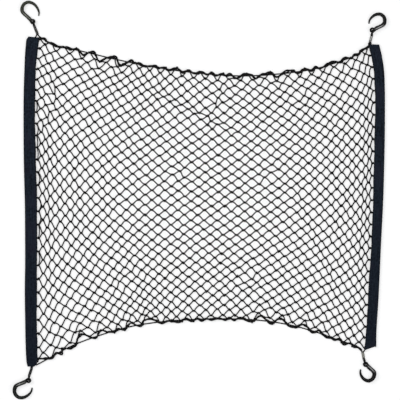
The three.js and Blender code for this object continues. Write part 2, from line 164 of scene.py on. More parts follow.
def joined(*parts):
    """Several results of bars() as one."""
    corners, faces, first = [], [], 0
    for points, groups in parts:
        corners.append(points)
        faces += [(f + first, uv) for f, uv in groups]
        first += len(points)
    return np.concatenate(corners), faces


def in_metres(shape):
    corners, groups = shape
    return corners * MM, [(f, uv * [MM, 1]) for f, uv in groups]


def new_piece(name, shape):
    """A mesh object from corners and groups of faces with their UVs."""
    corners, groups = shape
    sizes = np.concatenate([np.full(len(f), f.shape[1]) for f, _ in groups])
    uvs = np.concatenate([uv.reshape(-1, 2) for _, uv in groups])
    mesh = bpy.data.meshes.new(name)
    mesh.vertices.add(len(corners))
    mesh.vertices.foreach_set("co", np.ascontiguousarray(corners, np.float32).ravel())
    mesh.loops.add(int(sizes.sum()))
    mesh.loops.foreach_set("vertex_index", np.concatenate([f.ravel() for f, _ in groups]).astype(np.int32))
    mesh.polygons.add(len(sizes))
    mesh.polygons.foreach_set("loop_start", np.r_[0, np.cumsum(sizes)[:-1]].astype(np.int32))
    mesh.update(calc_edges=True)
    mesh.polygons.foreach_set("use_smooth", np.ones(len(sizes), bool))
    mesh.uv_layers.new(name="Along").data.foreach_set("uv", uvs.astype(np.float32).ravel())
    piece = bpy.data.objects.new(name, mesh)
    bpy.context.collection.objects.link(piece)
    return piece


def belongs(piece, stands_for=None):
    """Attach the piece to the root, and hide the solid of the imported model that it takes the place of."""
    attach(piece, "root")
    if stands_for:
        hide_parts(stands_for)


def report(piece):
    triangles = sum(len(face.vertices) - 2 for face in piece.data.polygons)
    print(piece.name, "has", triangles, "triangles")


# %% [markdown]
# ## The corners, in millimetres
# Each corner has a crimped ferrule. On the side of the net it takes in the edge elastic and the end of
# the band's elastic, and on the other side the same elastic comes out as a loop through the eye of the
# hook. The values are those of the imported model, so that the visible pieces lie where the solids lie: the
# middle of the ferrule and its way toward the net, where the band's elastic ends, the side of the ferrule
# that the edge elastic leaves, the middle of the hook's eye, the way the hook points in degrees and to
# which hand it bends, and where the edge elastic turns into the edge. Only bow and stout say more. The
# hooks were bent by hand, so no two are alike: bow holds how wide and how deep a hook's bow is against
# the pattern and how far out in millimetres it is set, and stout how thick the coated wire is.
# %% Corner values
CORD_RADIUS = 1.5
CORD_HEIGHT = 1.6
CORD_SPLAY = 1.65
STRAIGHT_LEAD = 1.2
GAP = 0.3
FERRULE_LENGTH = 13
FERRULE_WIDTH = 6.4
FERRULE_HEIGHT = 4.2
BAND_HEIGHT = 5.4

TOP_EDGE = [
    (-363.1, 380.2), (-341.8, 369.6), (-286.8, 358.3), (-196.6, 337.0), (-107.8, 319.0), (-9.8, 305.3),
    (99.4, 297.6), (192.2, 302.2), (282.0, 315.1), (343.2, 333.8), (373.7, 345.4), (396.7, 359.8),
]
BOTTOM_EDGE = [
    (-369.4, -385.7), (-344.9, -371.8), (-307.9, -352.1), (-256.1, -331.4), (-167.5, -305.0),
    (-89.5, -292.6), (4.8, -286.3), (121.9, -287.0), (208.3, -297.8), (278.9, -316.1), (326.2, -332.9),
    (370.6, -348.2),
]
Corner = namedtuple("Corner", "ferrule toward_net band_cord net_side eye angle hand bow stout turn_in")
CORNERS = {
    "top_left": Corner((-389.3, 405.4), (0.38, -0.925), (-391.6, 389.5), 1, (-397.6, 427.7), 138, -1,
                       (0.955, 0.99, 1.2), 0.94, [(-384.6, 394.9, 1.6), (-374.4, 387.4, 1.6)]),
    "top_right": Corner((413.5, 386.2), (-0.26, -0.966), (414.6, 374.9), -1, (417.0, 407.2), 25.6, 1,
                        (0.83, 0.90, 1.8), 1.0, [(407.6, 370.4, 1.6), (403.6, 366.2, 1.6)]),
    "bottom_left": Corner((-403.4, -413.0), (0.33, 0.944), (-401.6, -400.0), -1, (-407.7, -432.9), 202.4, 1,
                          (0.92, 1.0, 1.3), 1.03, [(-397.2, -398.2, 2.7), (-386.9, -394.8, 2.7)]),
    "bottom_right": Corner((395.0, -372.3), (-0.18, 0.984), (399.6, -361.3), 1, (400.8, -394.4), -41.5, -1,
                           (0.76, 0.87, 1.7), 1.08, [(391.0, -361.2, 1.6), (385.0, -355.2, 1.6)]),
}


def before_ferrule(corner, way, side, distance):
    """In front of a ferrule's end: way is 1 toward the net and -1 toward the hook."""
    axis = unit(np.array([*corner.toward_net, 0.0])) * way
    lateral = np.cross([0, 0, 1.0], axis) * side * CORD_SPLAY
    middle = np.array([*corner.ferrule, FERRULE_HEIGHT / 2])
    return middle + axis * (FERRULE_LENGTH / 2 + distance) + lateral


def out_of_ferrule(corner, side):
    """The first two points of an elastic that leaves a ferrule straight, toward the net."""
    return [before_ferrule(corner, 1, side, distance) for distance in (GAP, GAP + STRAIGHT_LEAD)]


# %% [markdown]
# ## The edge elastics
# These are cords of a known length, so they come before everything else. Each one leaves its ferrule
# straight, turns into the edge of the net and runs through the outer meshes to the ferrule at the other
# end. It is held taut at both ends.
# %% Edge elastics
ELASTIC_SIDES = 12
INTO_FERRULE = 2.5  # how far an elastic goes on inside a ferrule
PINCHED = 0.8  # the share of an elastic's radius that is left where the ferrule grips it


def edge_route(edge, left_name, right_name):
    left, right = (np.vstack([out_of_ferrule(corner, corner.net_side), corner.turn_in])
                   for corner in (CORNERS[left_name], CORNERS[right_name]))
    middle = with_height(np.array(edge), np.full(len(edge), CORD_HEIGHT))
    return smooth_curve(np.vstack([left, middle, right[::-1]]), steps=12)


def gripped(route, both_ends=True):
    """The route with its ends carried on into the ferrules, and the radius at each point."""
    points, radii = [route], [np.full(len(route), CORD_RADIUS)]
    points.insert(0, route[:1] - unit(route[1:2] - route[:1]) * INTO_FERRULE)
    radii.insert(0, [CORD_RADIUS * PINCHED])
    radii[1][0] *= (1 + PINCHED) / 2
    if both_ends:
        points.append(route[-1:] + unit(route[-1:] - route[-2:-1]) * INTO_FERRULE)
        radii.append([CORD_RADIUS * PINCHED])
        radii[-2][-1] *= (1 + PINCHED) / 2
    return np.vstack(points), np.concatenate(radii)


def elastic_piece(name, line, radii, stands_for):
    piece = new_piece(name, bars([line * MM], [radii * MM], ELASTIC_SIDES))
    belongs(piece, stands_for)
    elastics.append(piece)
    return piece


edge_routes = {
    "edge_elastic_top": edge_route(TOP_EDGE, "top_left", "top_right"),
    "edge_elastic_bottom": edge_route(BOTTOM_EDGE, "bottom_left", "bottom_right"),
}
elastics = []
for name, route in edge_routes.items():
    line, radii = gripped(route)
    piece = elastic_piece(name, line, radii, name.replace("elastic", "cord"))

# %% [markdown]
# ## The short ends of elastic at the corners
# From each ferrule one end goes into the fold of the band. On the other side the elastic climbs over the
# wire of the hook's eye, drops through it and comes back underneath, in an upright loop of two straight
# legs round one turn.
# %% Corner elastics
EYE_RADIUS = 4.2
EYE_WIRE_RADIUS = 2.1
EYE_HEIGHT = 5.5
LEG_STEPS = 6
TURN_STEPS = 16
LEGS_CLOSE = 0.4  # how much nearer the two legs are at the eye than at the ferrule


def loop_route(corner):
    start = before_ferrule(corner, -1, 0, GAP + STRAIGHT_LEAD)
    eye = np.array([*corner.eye, FERRULE_HEIGHT / 2])
    along = unit(eye - start)
    across = np.cross([0, 0, 1.0], along)
    wire_at = np.linalg.norm(eye - start) - EYE_RADIUS
    turn_radius = EYE_WIRE_RADIUS + CORD_RADIUS + GAP
    rise = EYE_HEIGHT - FERRULE_HEIGHT / 2
    slope = math.atan2(rise, wire_at)
    spread = math.asin(turn_radius / math.hypot(rise, wire_at))

    def spot(angle, share, side):
        distance, height = wire_at + turn_radius * math.cos(angle), rise + turn_radius * math.sin(angle)
        lateral = side * CORD_SPLAY * (1 - LEGS_CLOSE * share**2)
        return start + along * distance * share + across * lateral + np.array([0, 0, height * share])

    def leg(angle, side):
        rising = (spot(angle, i / LEG_STEPS, side) for i in range(LEG_STEPS))
        return [before_ferrule(corner, -1, side, GAP), *rising]

    top, low = slope + spread + math.pi / 2, slope - spread - math.pi / 2
    turn = [spot(top + (low - top) * i / TURN_STEPS, 1.0, math.cos(math.pi * i / TURN_STEPS))
            for i in range(TURN_STEPS + 1)]
    return np.array([*leg(top, 1), *turn, *leg(low, -1)[::-1]])


for name, corner in CORNERS.items():
    inside = np.array([*corner.band_cord, BAND_HEIGHT / 2])
    route = smooth_curve(np.vstack([*out_of_ferrule(corner, -corner.net_side), inside]), steps=6)
    elastic_piece(f"band_elastic_{name}", *gripped(route, both_ends=False), f"band_cord_{name}")
    elastic_piece(f"hook_elastic_{name}", *gripped(loop_route(corner)), f"hook_loop_{name}")
print("elastic pieces:", len(elastics))

# %% [markdown]
# ## The folded bands
# Each side band is a 50 mm tape folded lengthwise over the edge of the mesh. The rows cross the band: the
# folded edge outside, then the open edge beside the mesh. The tape is woven with fine lengthwise ribs,
# which are real ridges in the mesh, and the picks of the weave and its mottled dye come later in the
# material. At an end, where the elastic pulls at the tape, one corner is drawn out farther than the
# other.
# %% Band values
LEFT_BAND_ROWS = [
    # outer x, outer y, inner x, inner y
    (-409.2, -399.6, -387.4, -400.1), (-411.6, -388.6, -387.0, -388.6), (-413.8, -348.2, -387.8, -348.2),
    (-415.0, -288.2, -388.8, -288.2), (-415.9, -216.2, -388.6, -216.2), (-415.0, -149.0, -388.3, -149.0),
    (-415.2, -84.2, -388.1, -84.2), (-415.7, -12.2, -388.3, -12.2), (-418.1, 83.8, -390.5, 83.8),
    (-418.8, 155.8, -392.6, 155.8), (-418.6, 251.8, -392.9, 251.8), (-416.8, 311.8, -391.0, 311.8),
    (-415.5, 345.4, -388.3, 345.4), (-413.4, 371.8, -385.0, 371.8), (-411.8, 384.4, -383.6, 383.0),
    (-407.2, 391.8, -383.6, 389.4),
]
RIGHT_BAND_ROWS = [
    # outer x, outer y, inner x, inner y
    (425.6, -352.2, 398.4, -352.4), (425.6, -336.2, 401.0, -336.2), (426.2, -312.2, 403.7, -312.2),
    (430.8, -240.2, 407.3, -240.2), (433.7, -180.2, 410.9, -180.2), (437.5, -96.2, 416.2, -96.2),
    (441.8, -12.2, 419.3, -12.2), (444.2, 59.8, 421.2, 59.8), (445.9, 143.8, 423.1, 143.8),
    (446.4, 203.8, 424.8, 203.8), (446.2, 263.8, 424.3, 263.8), (444.2, 311.8, 421.4, 311.8),
    (438.6, 347.8, 414.6, 347.0), (435.6, 360.2, 411.6, 358.8), (432.6, 372.8, 410.4, 371.6),
]
END_PULLS = {
    # bottom end, top end: the share of the width where the pull starts, and how far the corner goes out
    "left": ((0.66, -6.0), (0.5, 0.0)), "right": ((0.42, 9.4), (0.6, 2.6)),
}
PULL_FADE = 24
TAPE_SPREAD = 1.0  # how far the pressed tape spreads past the measured line at each edge
TAPE_THICKNESS = 1.3
RIBS = 10  # lengthwise ribs across the folded band
RIB_HEIGHT = 0.16
FOLD_REACH = 0.06  # how far the rounding of the fold reaches in, as a share of the width
FLAT_STEPS = 40  # columns across one layer, four for each rib
FOLD_STEPS = 7
SLOT_STEPS = 6
SLOT_END = 1.4  # where the slot ends, against the fold's own rounding
SLOT_NARROWED = 1.6  # how thick each layer is there, against the tape, where the slot closes
STATION_STEPS = 12  # stations for each row of the table
EDGE_WAVES = ((0.35, 19), (0.25, 7.3), (0.15, 3.1))  # unevenness of the open edge: sizes and spans
WAVES_FROM = 0.6  # where across the band that unevenness starts
RIPPLES = ((0.18, 23), (0.12, 9))  # the same for the ups and downs of the top layer
FOLD_RIPPLE = 0.3  # the share of them that is left at the fold


def waves(random, along, kinds):
    """Waves added up, each with its size and its span for one radian, and each starting anywhere."""
    return sum(size * np.sin(along / span + random.uniform(0, 6)) for size, span in kinds)


def fold_profile():
    """All round the folded tape: how far across, from 0 at the fold to 1 at the open edge, and how high."""
    flat = np.linspace(1, FOLD_REACH, FLAT_STEPS + 1)
    rib = RIB_HEIGHT * (0.5 - 0.5 * np.cos(2 * np.pi * RIBS * (1 - flat))) - RIB_HEIGHT
    turn = np.linspace(-np.pi / 2, np.pi / 2, FOLD_STEPS + 2)[1:-1]
    fold = np.column_stack([FOLD_REACH * (1 - np.cos(turn)), BAND_HEIGHT / 2 * (1 + np.sin(turn))])
    under = np.column_stack([flat, -rib])
    over = np.column_stack([flat[::-1], BAND_HEIGHT + rib[::-1]])
    inner = np.linspace(1, 2 * FOLD_REACH, SLOT_STEPS)[:, None] * [1, 0]
    roof = inner + [0, BAND_HEIGHT - TAPE_THICKNESS]
    floor = inner[::-1] + [0, TAPE_THICKNESS]
    slot_end = [[SLOT_END * FOLD_REACH, height] for height in
                (BAND_HEIGHT - SLOT_NARROWED * TAPE_THICKNESS, SLOT_NARROWED * TAPE_THICKNESS)]
    return np.vstack([under, fold, over, roof, slot_end, floor])


def band_shape(rows, pulls, mirrored, seed):
    """The band's shape in metres, and its two edges from above in millimetres."""
    rows = np.array(rows)
    outer, inner = smooth_curve(rows[:, :2], STATION_STEPS), smooth_curve(rows[:, 2:], STATION_STEPS)
    spread = unit(inner - outer) * TAPE_SPREAD
    outer, inner = outer - spread, inner + spread
    if mirrored:
        outer, inner, pulls = outer[::-1], inner[::-1], pulls[::-1]
    random = np.random.default_rng(seed)
    along = travelled(outer)
    uneven = waves(random, along, EDGE_WAVES)
    x, z = fold_profile().T
    reach = np.clip((x - WAVES_FROM) / (1 - WAVES_FROM), 0, 1) ** 2
    plan = outer[:, None] + (inner - outer)[:, None] * x[:, None]
    plan += unit(inner - outer)[:, None] * (reach[:, None] * uneven[:, None, None])
    ahead = unit(np.gradient(outer, axis=0))
    for (start, pull), way, distance in zip(pulls, (-1, 1), (along, along[-1] - along)):
        fade = np.clip(1 - distance / PULL_FADE, 0, 1) ** 1.5
        corner = np.clip((x - start) / (1 - start), 0, 1)
        plan += way * pull * ahead[:, None] * (fade[:, None] * corner)[..., None]
    lift = np.clip(z / BAND_HEIGHT, 0, 1) * waves(random, along, RIPPLES)[:, None]
    lift = lift * (FOLD_RIPPLE + (1 - FOLD_RIPPLE) * x)
    corners = with_height(plan, z + lift) * MM

    stations, columns = corners.shape[:2]
    number = np.arange(stations * columns).reshape(stations, columns)
    beside = np.roll(number, -1, axis=1)
    walls = np.stack([number[:-1], number[1:], beside[1:], beside[:-1]], axis=-1).reshape(-1, 4)
    side = np.where(z < BAND_HEIGHT / 2, -1.0, 1.0) * x
    shape = (stations - 1, columns)
    u0, u1 = (np.broadcast_to(u[:, None] * MM, shape) for u in (along[:-1], along[1:]))
    v0, v1 = (np.broadcast_to(v, shape) for v in (side, np.roll(side, -1)))
    wall_uv = corner_uvs((u0, v0), (u1, v0), (u1, v1), (u0, v1))
    ends = np.stack([number[0], number[-1, ::-1]])
    end_uv = np.stack([np.column_stack([np.zeros(columns), side]),
                       np.column_stack([np.full(columns, along[-1] * MM), side[::-1]])])
    return (corners.reshape(-1, 3), [(walls, wall_uv), (ends, end_uv)]), inner, outer


# %% [markdown]
# The width that the tape was cut to before it was folded is taken from the band's two edges.
# %% Bands
bands, band_edges = {}, {}
for side, rows, mirrored, seed in (("left", LEFT_BAND_ROWS, True, 3), ("right", RIGHT_BAND_ROWS, False, 4)):
    shape, inner, outer = band_shape(rows, END_PULLS[side], mirrored, seed)
    band = new_piece(f"folded_band_{side}", shape)
    tape_width = 2 * float(np.median(np.linalg.norm(inner - outer, axis=1))) * MM
    belongs(band, f"band_{side}")
    bands[side] = band
    band_edges[side] = (inner[::-1], outer[::-1]) if mirrored else (inner, outer)
    report(band)

# %% [markdown]
# ## Thread through the bands
# A lockstitch close to the open edge holds the mesh between the two layers. One stitch is a short bar
# that dips into the tape at both ends, and it is repeated at an even pitch down each band.
# %% Stitches
STITCH_PITCH = 3.4
STITCH_LENGTH = 2.7
THREAD_RADIUS = 0.32
THREAD_SIDES = 5
STITCH_INSET = 2.6  # from the open edge
STITCH_RISE = (-0.25, 0.2, 0.3, 0.2, -0.25)


def stitch_row(side):
    inner, outer = band_edges[side]
    row = inner + unit(outer - inner) * STITCH_INSET
    total = length_of(row)
    starts = (np.arange(int(total / STITCH_PITCH)) + 0.5) * STITCH_PITCH
    offsets = np.linspace(0, STITCH_LENGTH, len(STITCH_RISE))
    plan = at_share(row, (starts[:, None] + offsets).clip(0, total) / total)
    heights = np.broadcast_to(BAND_HEIGHT + np.array(STITCH_RISE), plan.shape[:2])
    return bars(with_height(plan, heights) * MM, THREAD_RADIUS * MM, THREAD_SIDES)


stitches = new_piece("band_stitches", joined(stitch_row("left"), stitch_row("right")))
belongs(stitches)
report(stitches)

# %% [markdown]
# ## Where each knot of the mesh lies
# The real mesh is an even lattice, 29 diamonds wide and 26 high, pulled to the shape of the net. Half
# diamonds are counted from the bottom left corner, and there is a knot wherever the two counts add up to
# an even number. The lattice is spread between the four curved edges, squeezed beside the bands and
# opened in the middle. It has crept up the left band and a little down the right one, and at the top and
# the bottom its left columns are drawn in toward the middle.
# %% Lattice
MESH_COLUMNS = 29
MESH_ROWS = 26
SIDE_SQUEEZE = 0.15
SECOND_SQUEEZE = 0.03
SQUEEZE_FADE = 1.5
BAND_STRETCH = 0.04
CREEPS = ((0, 0.045, 0.4), (1, -0.014, 0.22))  # beside each band: its place across, how far up and how wide
DRAWN_IN = (0.038, 0.02)  # how far the left columns are drawn in at the bottom and at the top
DRAWN_REACH = 0.46
DRAWN_LEAN = 0.8  # below 1 it is strongest nearer to the band
MESH_CORNERS = dict(bottom_left=(-386.9, -386.6), bottom_right=(398.4, -355.4),
                    top_left=(-383.8, 387.4), top_right=(410.6, 374.2))
corner_spots = {name: np.array(spot) for name, spot in MESH_CORNERS.items()}


def mesh_side(rows, low, high):
    return smooth_curve([corner_spots[low], *rows, corner_spots[high]])


mesh_top = mesh_side(TOP_EDGE, "top_left", "top_right")
mesh_bottom = mesh_side(BOTTOM_EDGE, "bottom_left", "bottom_right")
mesh_left = mesh_side([row[2:] for row in LEFT_BAND_ROWS[2:-1]], "bottom_left", "top_left")
mesh_right = mesh_side([row[2:] for row in RIGHT_BAND_ROWS[2:-1]], "bottom_right", "top_right")


def mesh_point(half_columns, half_rows):
    """Places in millimetres of points of the made mesh, given in half diamonds."""
    across, up = half_columns / (2 * MESH_COLUMNS), half_rows / (2 * MESH_ROWS)
    turn = 2 * np.pi * across
    middle = np.sin(np.pi * np.clip(up, 0, 1)) ** SQUEEZE_FADE
    squeeze = SIDE_SQUEEZE * np.sin(turn) + SECOND_SQUEEZE / 2 * np.sin(2 * turn)
    u = across - middle * squeeze / (2 * np.pi)
    v = up - BAND_STRETCH * np.cos(np.pi * across) ** 2 * np.sin(2 * np.pi * up) / (2 * np.pi)
    end = np.clip(2 * up - 1, -1, 1)
    drawn = np.sin(np.pi * np.clip(across / DRAWN_REACH, 0, 1) ** DRAWN_LEAN) ** 2 * end**2
    u = u + drawn * np.where(end < 0, *DRAWN_IN)
    for place, creep, reach in CREEPS:
        beside = np.clip(1 - np.abs(across - place) / reach, 0, 1) ** 2
        v = v + creep * beside * np.sin(np.pi * np.clip(up, 0, 1))
    a, b = u[..., None], v[..., None]
    return ((1 - b) * at_share(mesh_bottom, u) + b * at_share(mesh_top, u)
            + (1 - a) * at_share(mesh_left, v) + a * at_share(mesh_right, v)
            - (1 - a) * (1 - b) * corner_spots["bottom_left"] - a * (1 - b) * corner_spots["bottom_right"]
            - (1 - a) * b * corner_spots["top_left"] - a * b * corner_spots["top_right"])


# %% [markdown]
# The elastic is threaded through the outermost meshes, so their doubled twine swings from one side of it
# to the other. Between two tips of the mesh it mostly stands proud as a short thick loop, and here and
# there a whole loop has slipped inside and stands open. Each pair gives a place along the edge and how
# far the doubled twine lies outside the elastic there, in millimetres.
# %% Edge swings
TOP_SWINGS = [
    # x, outside the elastic
    (-382, -10.8), (-371, 2.4), (-362, -1.0), (-349, 3.1), (-337, -0.5), (-316, 3.4), (-304, -0.2),
    (-289, 3.4), (-275, -8.2), (-264, -0.5), (-252, 6.7), (-245, -2.4), (-235, -15.1), (-217, 0.5),
    (-200, 5.3), (-186, -13.4), (-172, -1.9), (-161, 5.8), (-154, 1.0), (-145, 3.8), (-128, -2.4),
    (-107, 4.1), (-95, -0.5), (-83, 3.4), (-71, -1.2), (-52, 5.8), (-38, -1.0), (-23, 3.8), (-11, -1.4),
    (7, 3.8), (20, -1.4), (31, 4.6), (42, -2.9), (56, 4.1), (66, 0.5), (77, 3.6), (88, -6.2), (108, 3.8),
    (128, 2.9), (136, -6.7), (155, 3.6), (176, 4.6), (186, -7.7), (208, 4.3), (228, 4.6), (238, -2.9),
    (256, 4.6), (271, -1.0), (281, 4.3), (290, -1.9), (311, 3.8), (329, 4.1), (338, -1.9), (352, 4.6),
    (366, -1.4), (374, 4.1), (383, -1.4), (394, 3.8), (403, 0.0), (409, 0.0),
]
BOTTOM_SWINGS = [
    # x, outside the elastic
    (-385, -16.3), (-373, -7.7), (-364, -1.9), (-352, 3.6), (-340, -0.5), (-331, 6.7), (-324, -4.8),
    (-308, 6.0), (-295, 1.9), (-287, -10.8), (-276, -17.8), (-258, -3.6), (-246, 4.1), (-238, -5.3),
    (-229, -10.6), (-217, -2.4), (-204, 3.4), (-191, -0.7), (-176, 4.6), (-168, -2.9), (-160, -9.6),
    (-150, -1.4), (-138, 4.6), (-130, -8.6), (-116, -12.0), (-104, -5.3), (-92, 2.6), (-68, 0.7),
    (-44, 4.6), (-30, -1.9), (-16, 4.1), (-4, -0.5), (7, 3.6), (19, -0.5), (32, 3.1), (46, -1.7),
    (64, 3.6), (76, -1.2), (86, 2.9), (102, -2.4), (119, 3.6), (133, 4.3), (142, -8.6), (150, -12.5),
    (161, -3.6), (172, 5.5), (180, 2.4), (188, -8.6), (197, -11.0), (208, -3.4), (222, 3.8), (234, 3.8),
    (242, -4.8), (251, -10.1), (260, -5.3), (271, 3.4), (280, 1.2), (288, -7.7), (296, 0.5), (308, 3.8),
    (318, 0.7), (326, 4.1), (337, -1.4), (350, 5.5), (364, -1.0), (374, 3.6), (384, -0.5), (391, 0.0),
]


class Edge:
    """One elastic edge of the net, with the doubled twine that swings about it."""

    def __init__(self, route, swings, outward):
        self.route = route
        self.swings = smooth_curve(swings, steps=10)
        ahead = unit(np.gradient(route[:, :2], axis=0))
        self.normals = np.column_stack([-ahead[:, 1], ahead[:, 0]]) * outward

    def swing_at(self, x):
        return np.interp(x, self.swings[:, 0], self.swings[:, 1])

    def beside(self, x, outside):
        """Points at these places along the edge, so far to the outside of the elastic."""
        on_elastic = np.stack([x, np.interp(x, self.route[:, 0], self.route[:, 1])], axis=-1)
        normals = [np.interp(x, self.route[:, 0], self.normals[:, k]) for k in (0, 1)]
        return on_elastic + unit(np.stack(normals, axis=-1)) * outside[..., None]


edges = {
    "top": Edge(edge_routes["edge_elastic_top"], TOP_SWINGS, 1),
    "bottom": Edge(edge_routes["edge_elastic_bottom"], BOTTOM_SWINGS, -1),
}
print("swings:", len(TOP_SWINGS), "along the top and", len(BOTTOM_SWINGS), "along the bottom")

# %% [markdown]
# Each knot strays a little on its own, because no two are tied and pulled alike. Then come the places
# where the mesh lies puckered: the knots there are drawn together or pushed aside. Each row gives the
# middle of the pucker, how far it reaches and how far it moves the knots, in millimetres. Along a crease
# the meshes are pushed together from both sides, so a strip of them lies flattened. The outer rows follow
# the doubled twine of the edge.
# %% Knots
PUCKERS = [
    # x, y, reach, move x, move y
    (36, 232, 26, 3, -2), (50, 182, 30, -3, 2), (22, 205, 20, 3, 3), (-366, 200, 24, 7, -6),
    (-372, 172, 18, -5, 7), (-352, 258, 18, 6, -6), (-342, 230, 16, -6, 5), (-350, 198, 18, 6, -5),
    (-205, -10, 20, 5, -4), (330, -168, 24, -3, 2), (-60, 60, 34, 3, 3), (170, 60, 36, -3, 3),
    (120, -190, 38, 3, -3), (-180, -200, 40, -3, 3), (250, 240, 30, 4, -3),
]
PUCKER_RIPPLE = 4  # how often the move changes its way within the pucker's reach, in radians
PUCKER_START = 1
CREASES = [
    # from x, y, to x, y, and how far each side is pushed toward the crease
    (-97, 257, 52, 178, 4.5), (58, 268, 20, 176, 4.2), (-352, 283, -340, 187, 2.5),
    (-150, 215, -97, 257, 2.5), (240, 10, 330, -220, 2.4),
]
CREASE_REACH = 30
CREASE_FOLD = 7
KNOT_SHIFT = 0.6  # how far a knot strays, on the whole, in millimetres
STAND_OFF = 4.3  # from the open edge of a band to the knots beside it
FREE_COLUMNS = 3  # half diamonds from a band to where the knots are free to stray
FREE_ROWS = 2  # the same from an elastic
EDGE_FADE = (1.0, 0.72, 0.46, 0.26, 0.12, 0.04)  # how much of the edge's move each row in from it takes
random = np.random.default_rng(11)

columns, rows = np.meshgrid(np.arange(2 * MESH_COLUMNS + 1), np.arange(2 * MESH_ROWS + 1), indexing="ij")
is_knot = (columns + rows) % 2 == 0
knots = mesh_point(columns.astype(float), rows.astype(float))
from_side = np.minimum(columns, 2 * MESH_COLUMNS - columns)
from_edge = np.minimum(rows, 2 * MESH_ROWS - rows)
clear_of_edge = np.clip(from_edge / FREE_ROWS, 0, 1)
shift = random.normal(0, KNOT_SHIFT, knots.shape)
for x, y, reach, move_x, move_y in PUCKERS:
    far = np.linalg.norm(knots - (x, y), axis=-1, keepdims=True)
    near = np.exp(-(far / reach) ** 2)
    shift += near * np.array((move_x, move_y)) * np.sin(far / reach * PUCKER_RIPPLE + PUCKER_START)
for x, y, to_x, to_y, push in CREASES:
    way = np.array((to_x - x, to_y - y), float)
    side = unit(np.array((-way[1], way[0])))
    along = ((knots - (x, y)) @ way / (way @ way)).clip(0, 1)
    beside = (knots - (x, y)) @ side
    near = np.exp(-(np.linalg.norm(knots - (x, y) - along[..., None] * way, axis=-1) / CREASE_REACH) ** 2)
    shift -= (push * near * np.tanh(beside / CREASE_FOLD))[..., None] * side
knots = knots + shift * (np.clip(from_side / FREE_COLUMNS, 0, 1) * clear_of_edge)[..., None]
stand_off = STAND_OFF * np.clip(1 - from_side / FREE_COLUMNS, 0, 1) * clear_of_edge
knots[..., 0] += np.where(columns < MESH_COLUMNS, stand_off, -stand_off)
for name, last in (("top", 2 * MESH_ROWS), ("bottom", 0)):
    x = knots[:, last, 0]
    move = edges[name].beside(x, edges[name].swing_at(x)) - knots[:, last]
    move *= np.clip(from_side[:, :1], 0, 1)
    for step, share in enumerate(EDGE_FADE):
        knots[:, abs(last - step)] += move * share
print("knots:", int(is_knot.sum()))

# %% [markdown]
# ## Twine between the knots
# The twine leaves one knot upward, sags to the floor and rises into the next. It is a little longer than
# the straight way, so it bows to one side or the other, and it comes into the upper knot more from the
# side than it left the lower one, which rounds the tops of the diamonds. Beside the bands the mesh climbs
# into the slot.
# %% Strands
TWINE_RADIUS = 1.6
KNOT_HEIGHT = 2.8  # the middle of a knot over the floor
MESH_LIFT = 2.7  # the middle of the slot between the two layers of a band
LIFT_RUN = 18
KNOT_SPREAD = 1.5  # from the middle of a knot to where a twine leaves it at the side
STRAND_SIDES = 6
STRAND_POINTS = 5
BOW = 0.035  # bowing of a strand, as a share of its length
ARCH = 0.055  # how much more an upper end comes in from the side


def height_for(points, resting):
    """The height of points of the mesh, which rises from its rest to the slot beside a band."""
    left = np.interp(points[..., 1], mesh_left[:, 1], mesh_left[:, 0])
    right = np.interp(points[..., 1], mesh_right[:, 1], mesh_right[:, 0])
    near = np.minimum(points[..., 0] - left, right - points[..., 0])
    share = np.clip(1 - near / LIFT_RUN, 0, 1)
    share = share**2 * (3 - 2 * share)
    return resting * (1 - share) + np.maximum(MESH_LIFT, resting) * share


def strand_routes():
    lower, upper = [], []
    for step in (-1, 1):
        start = is_knot[:, :-1].copy()
        start[0 if step < 0 else -1] = False
        i, j = np.nonzero(start)
        lower.append(knots[i, j] + [step * KNOT_SPREAD, 0])
        upper.append(knots[i + step, j + 1] - [step * KNOT_SPREAD, 0])
    lower, upper = np.concatenate(lower), np.concatenate(upper)
    way = upper - lower
    across = np.stack([-way[:, 1], way[:, 0]], axis=-1)
    share = np.linspace(0, 1, STRAND_POINTS)[:, None]
    bow = random.normal(0, BOW, (len(way), 1, 1)) * np.sin(np.pi * share)
    arch = np.abs(random.normal(ARCH, 0.5 * ARCH, (len(way), 1, 1))) * np.sin(np.pi * share) * share**1.5
    plan = lower[:, None] + way[:, None] * share + across[:, None] * bow
    plan += np.where(across[:, 1:] > 0, across, -across)[:, None] * arch
    sag = (KNOT_HEIGHT - TWINE_RADIUS) * (1 - 2 * share[:, 0]) ** 2
    return with_height(plan, height_for(plan, TWINE_RADIUS + sag))


routes = strand_routes()
strands = new_piece("net_strands", bars(routes * MM, TWINE_RADIUS * MM, STRAND_SIDES))
report(strands)

# %% [markdown]
# ## Knots
# Where the twines meet, one is hitched round the other with a turn and a half. A single low knot is made
# as a short winding, and it is set at each crossing with its own small turn and size.
# %% Mesh knots
KNOT_TURNS = 1.5
KNOT_STEPS = 9
KNOT_SIDES = 6
KNOT_RADIUS = 2.4  # of the winding's centre line
KNOT_ADVANCE = 1.8  # along the winding for each turn
KNOT_FLATTENED = 0.4
KNOT_TWINE = 1.7
KNOT_LEAN = 0.45  # how far a knot is turned on the whole, in radians
KNOT_SIZES = (0.9, 1.1)


def knot_shape():
    turn = np.linspace(0, KNOT_TURNS * 2 * np.pi, KNOT_STEPS + 1)
    advance = KNOT_ADVANCE * (turn / (2 * np.pi) - KNOT_TURNS / 2)
    x, z = KNOT_RADIUS * np.cos(turn), KNOT_FLATTENED * KNOT_RADIUS * np.sin(turn)
    return bars([np.column_stack([x, advance, z])], KNOT_TWINE, KNOT_SIDES)


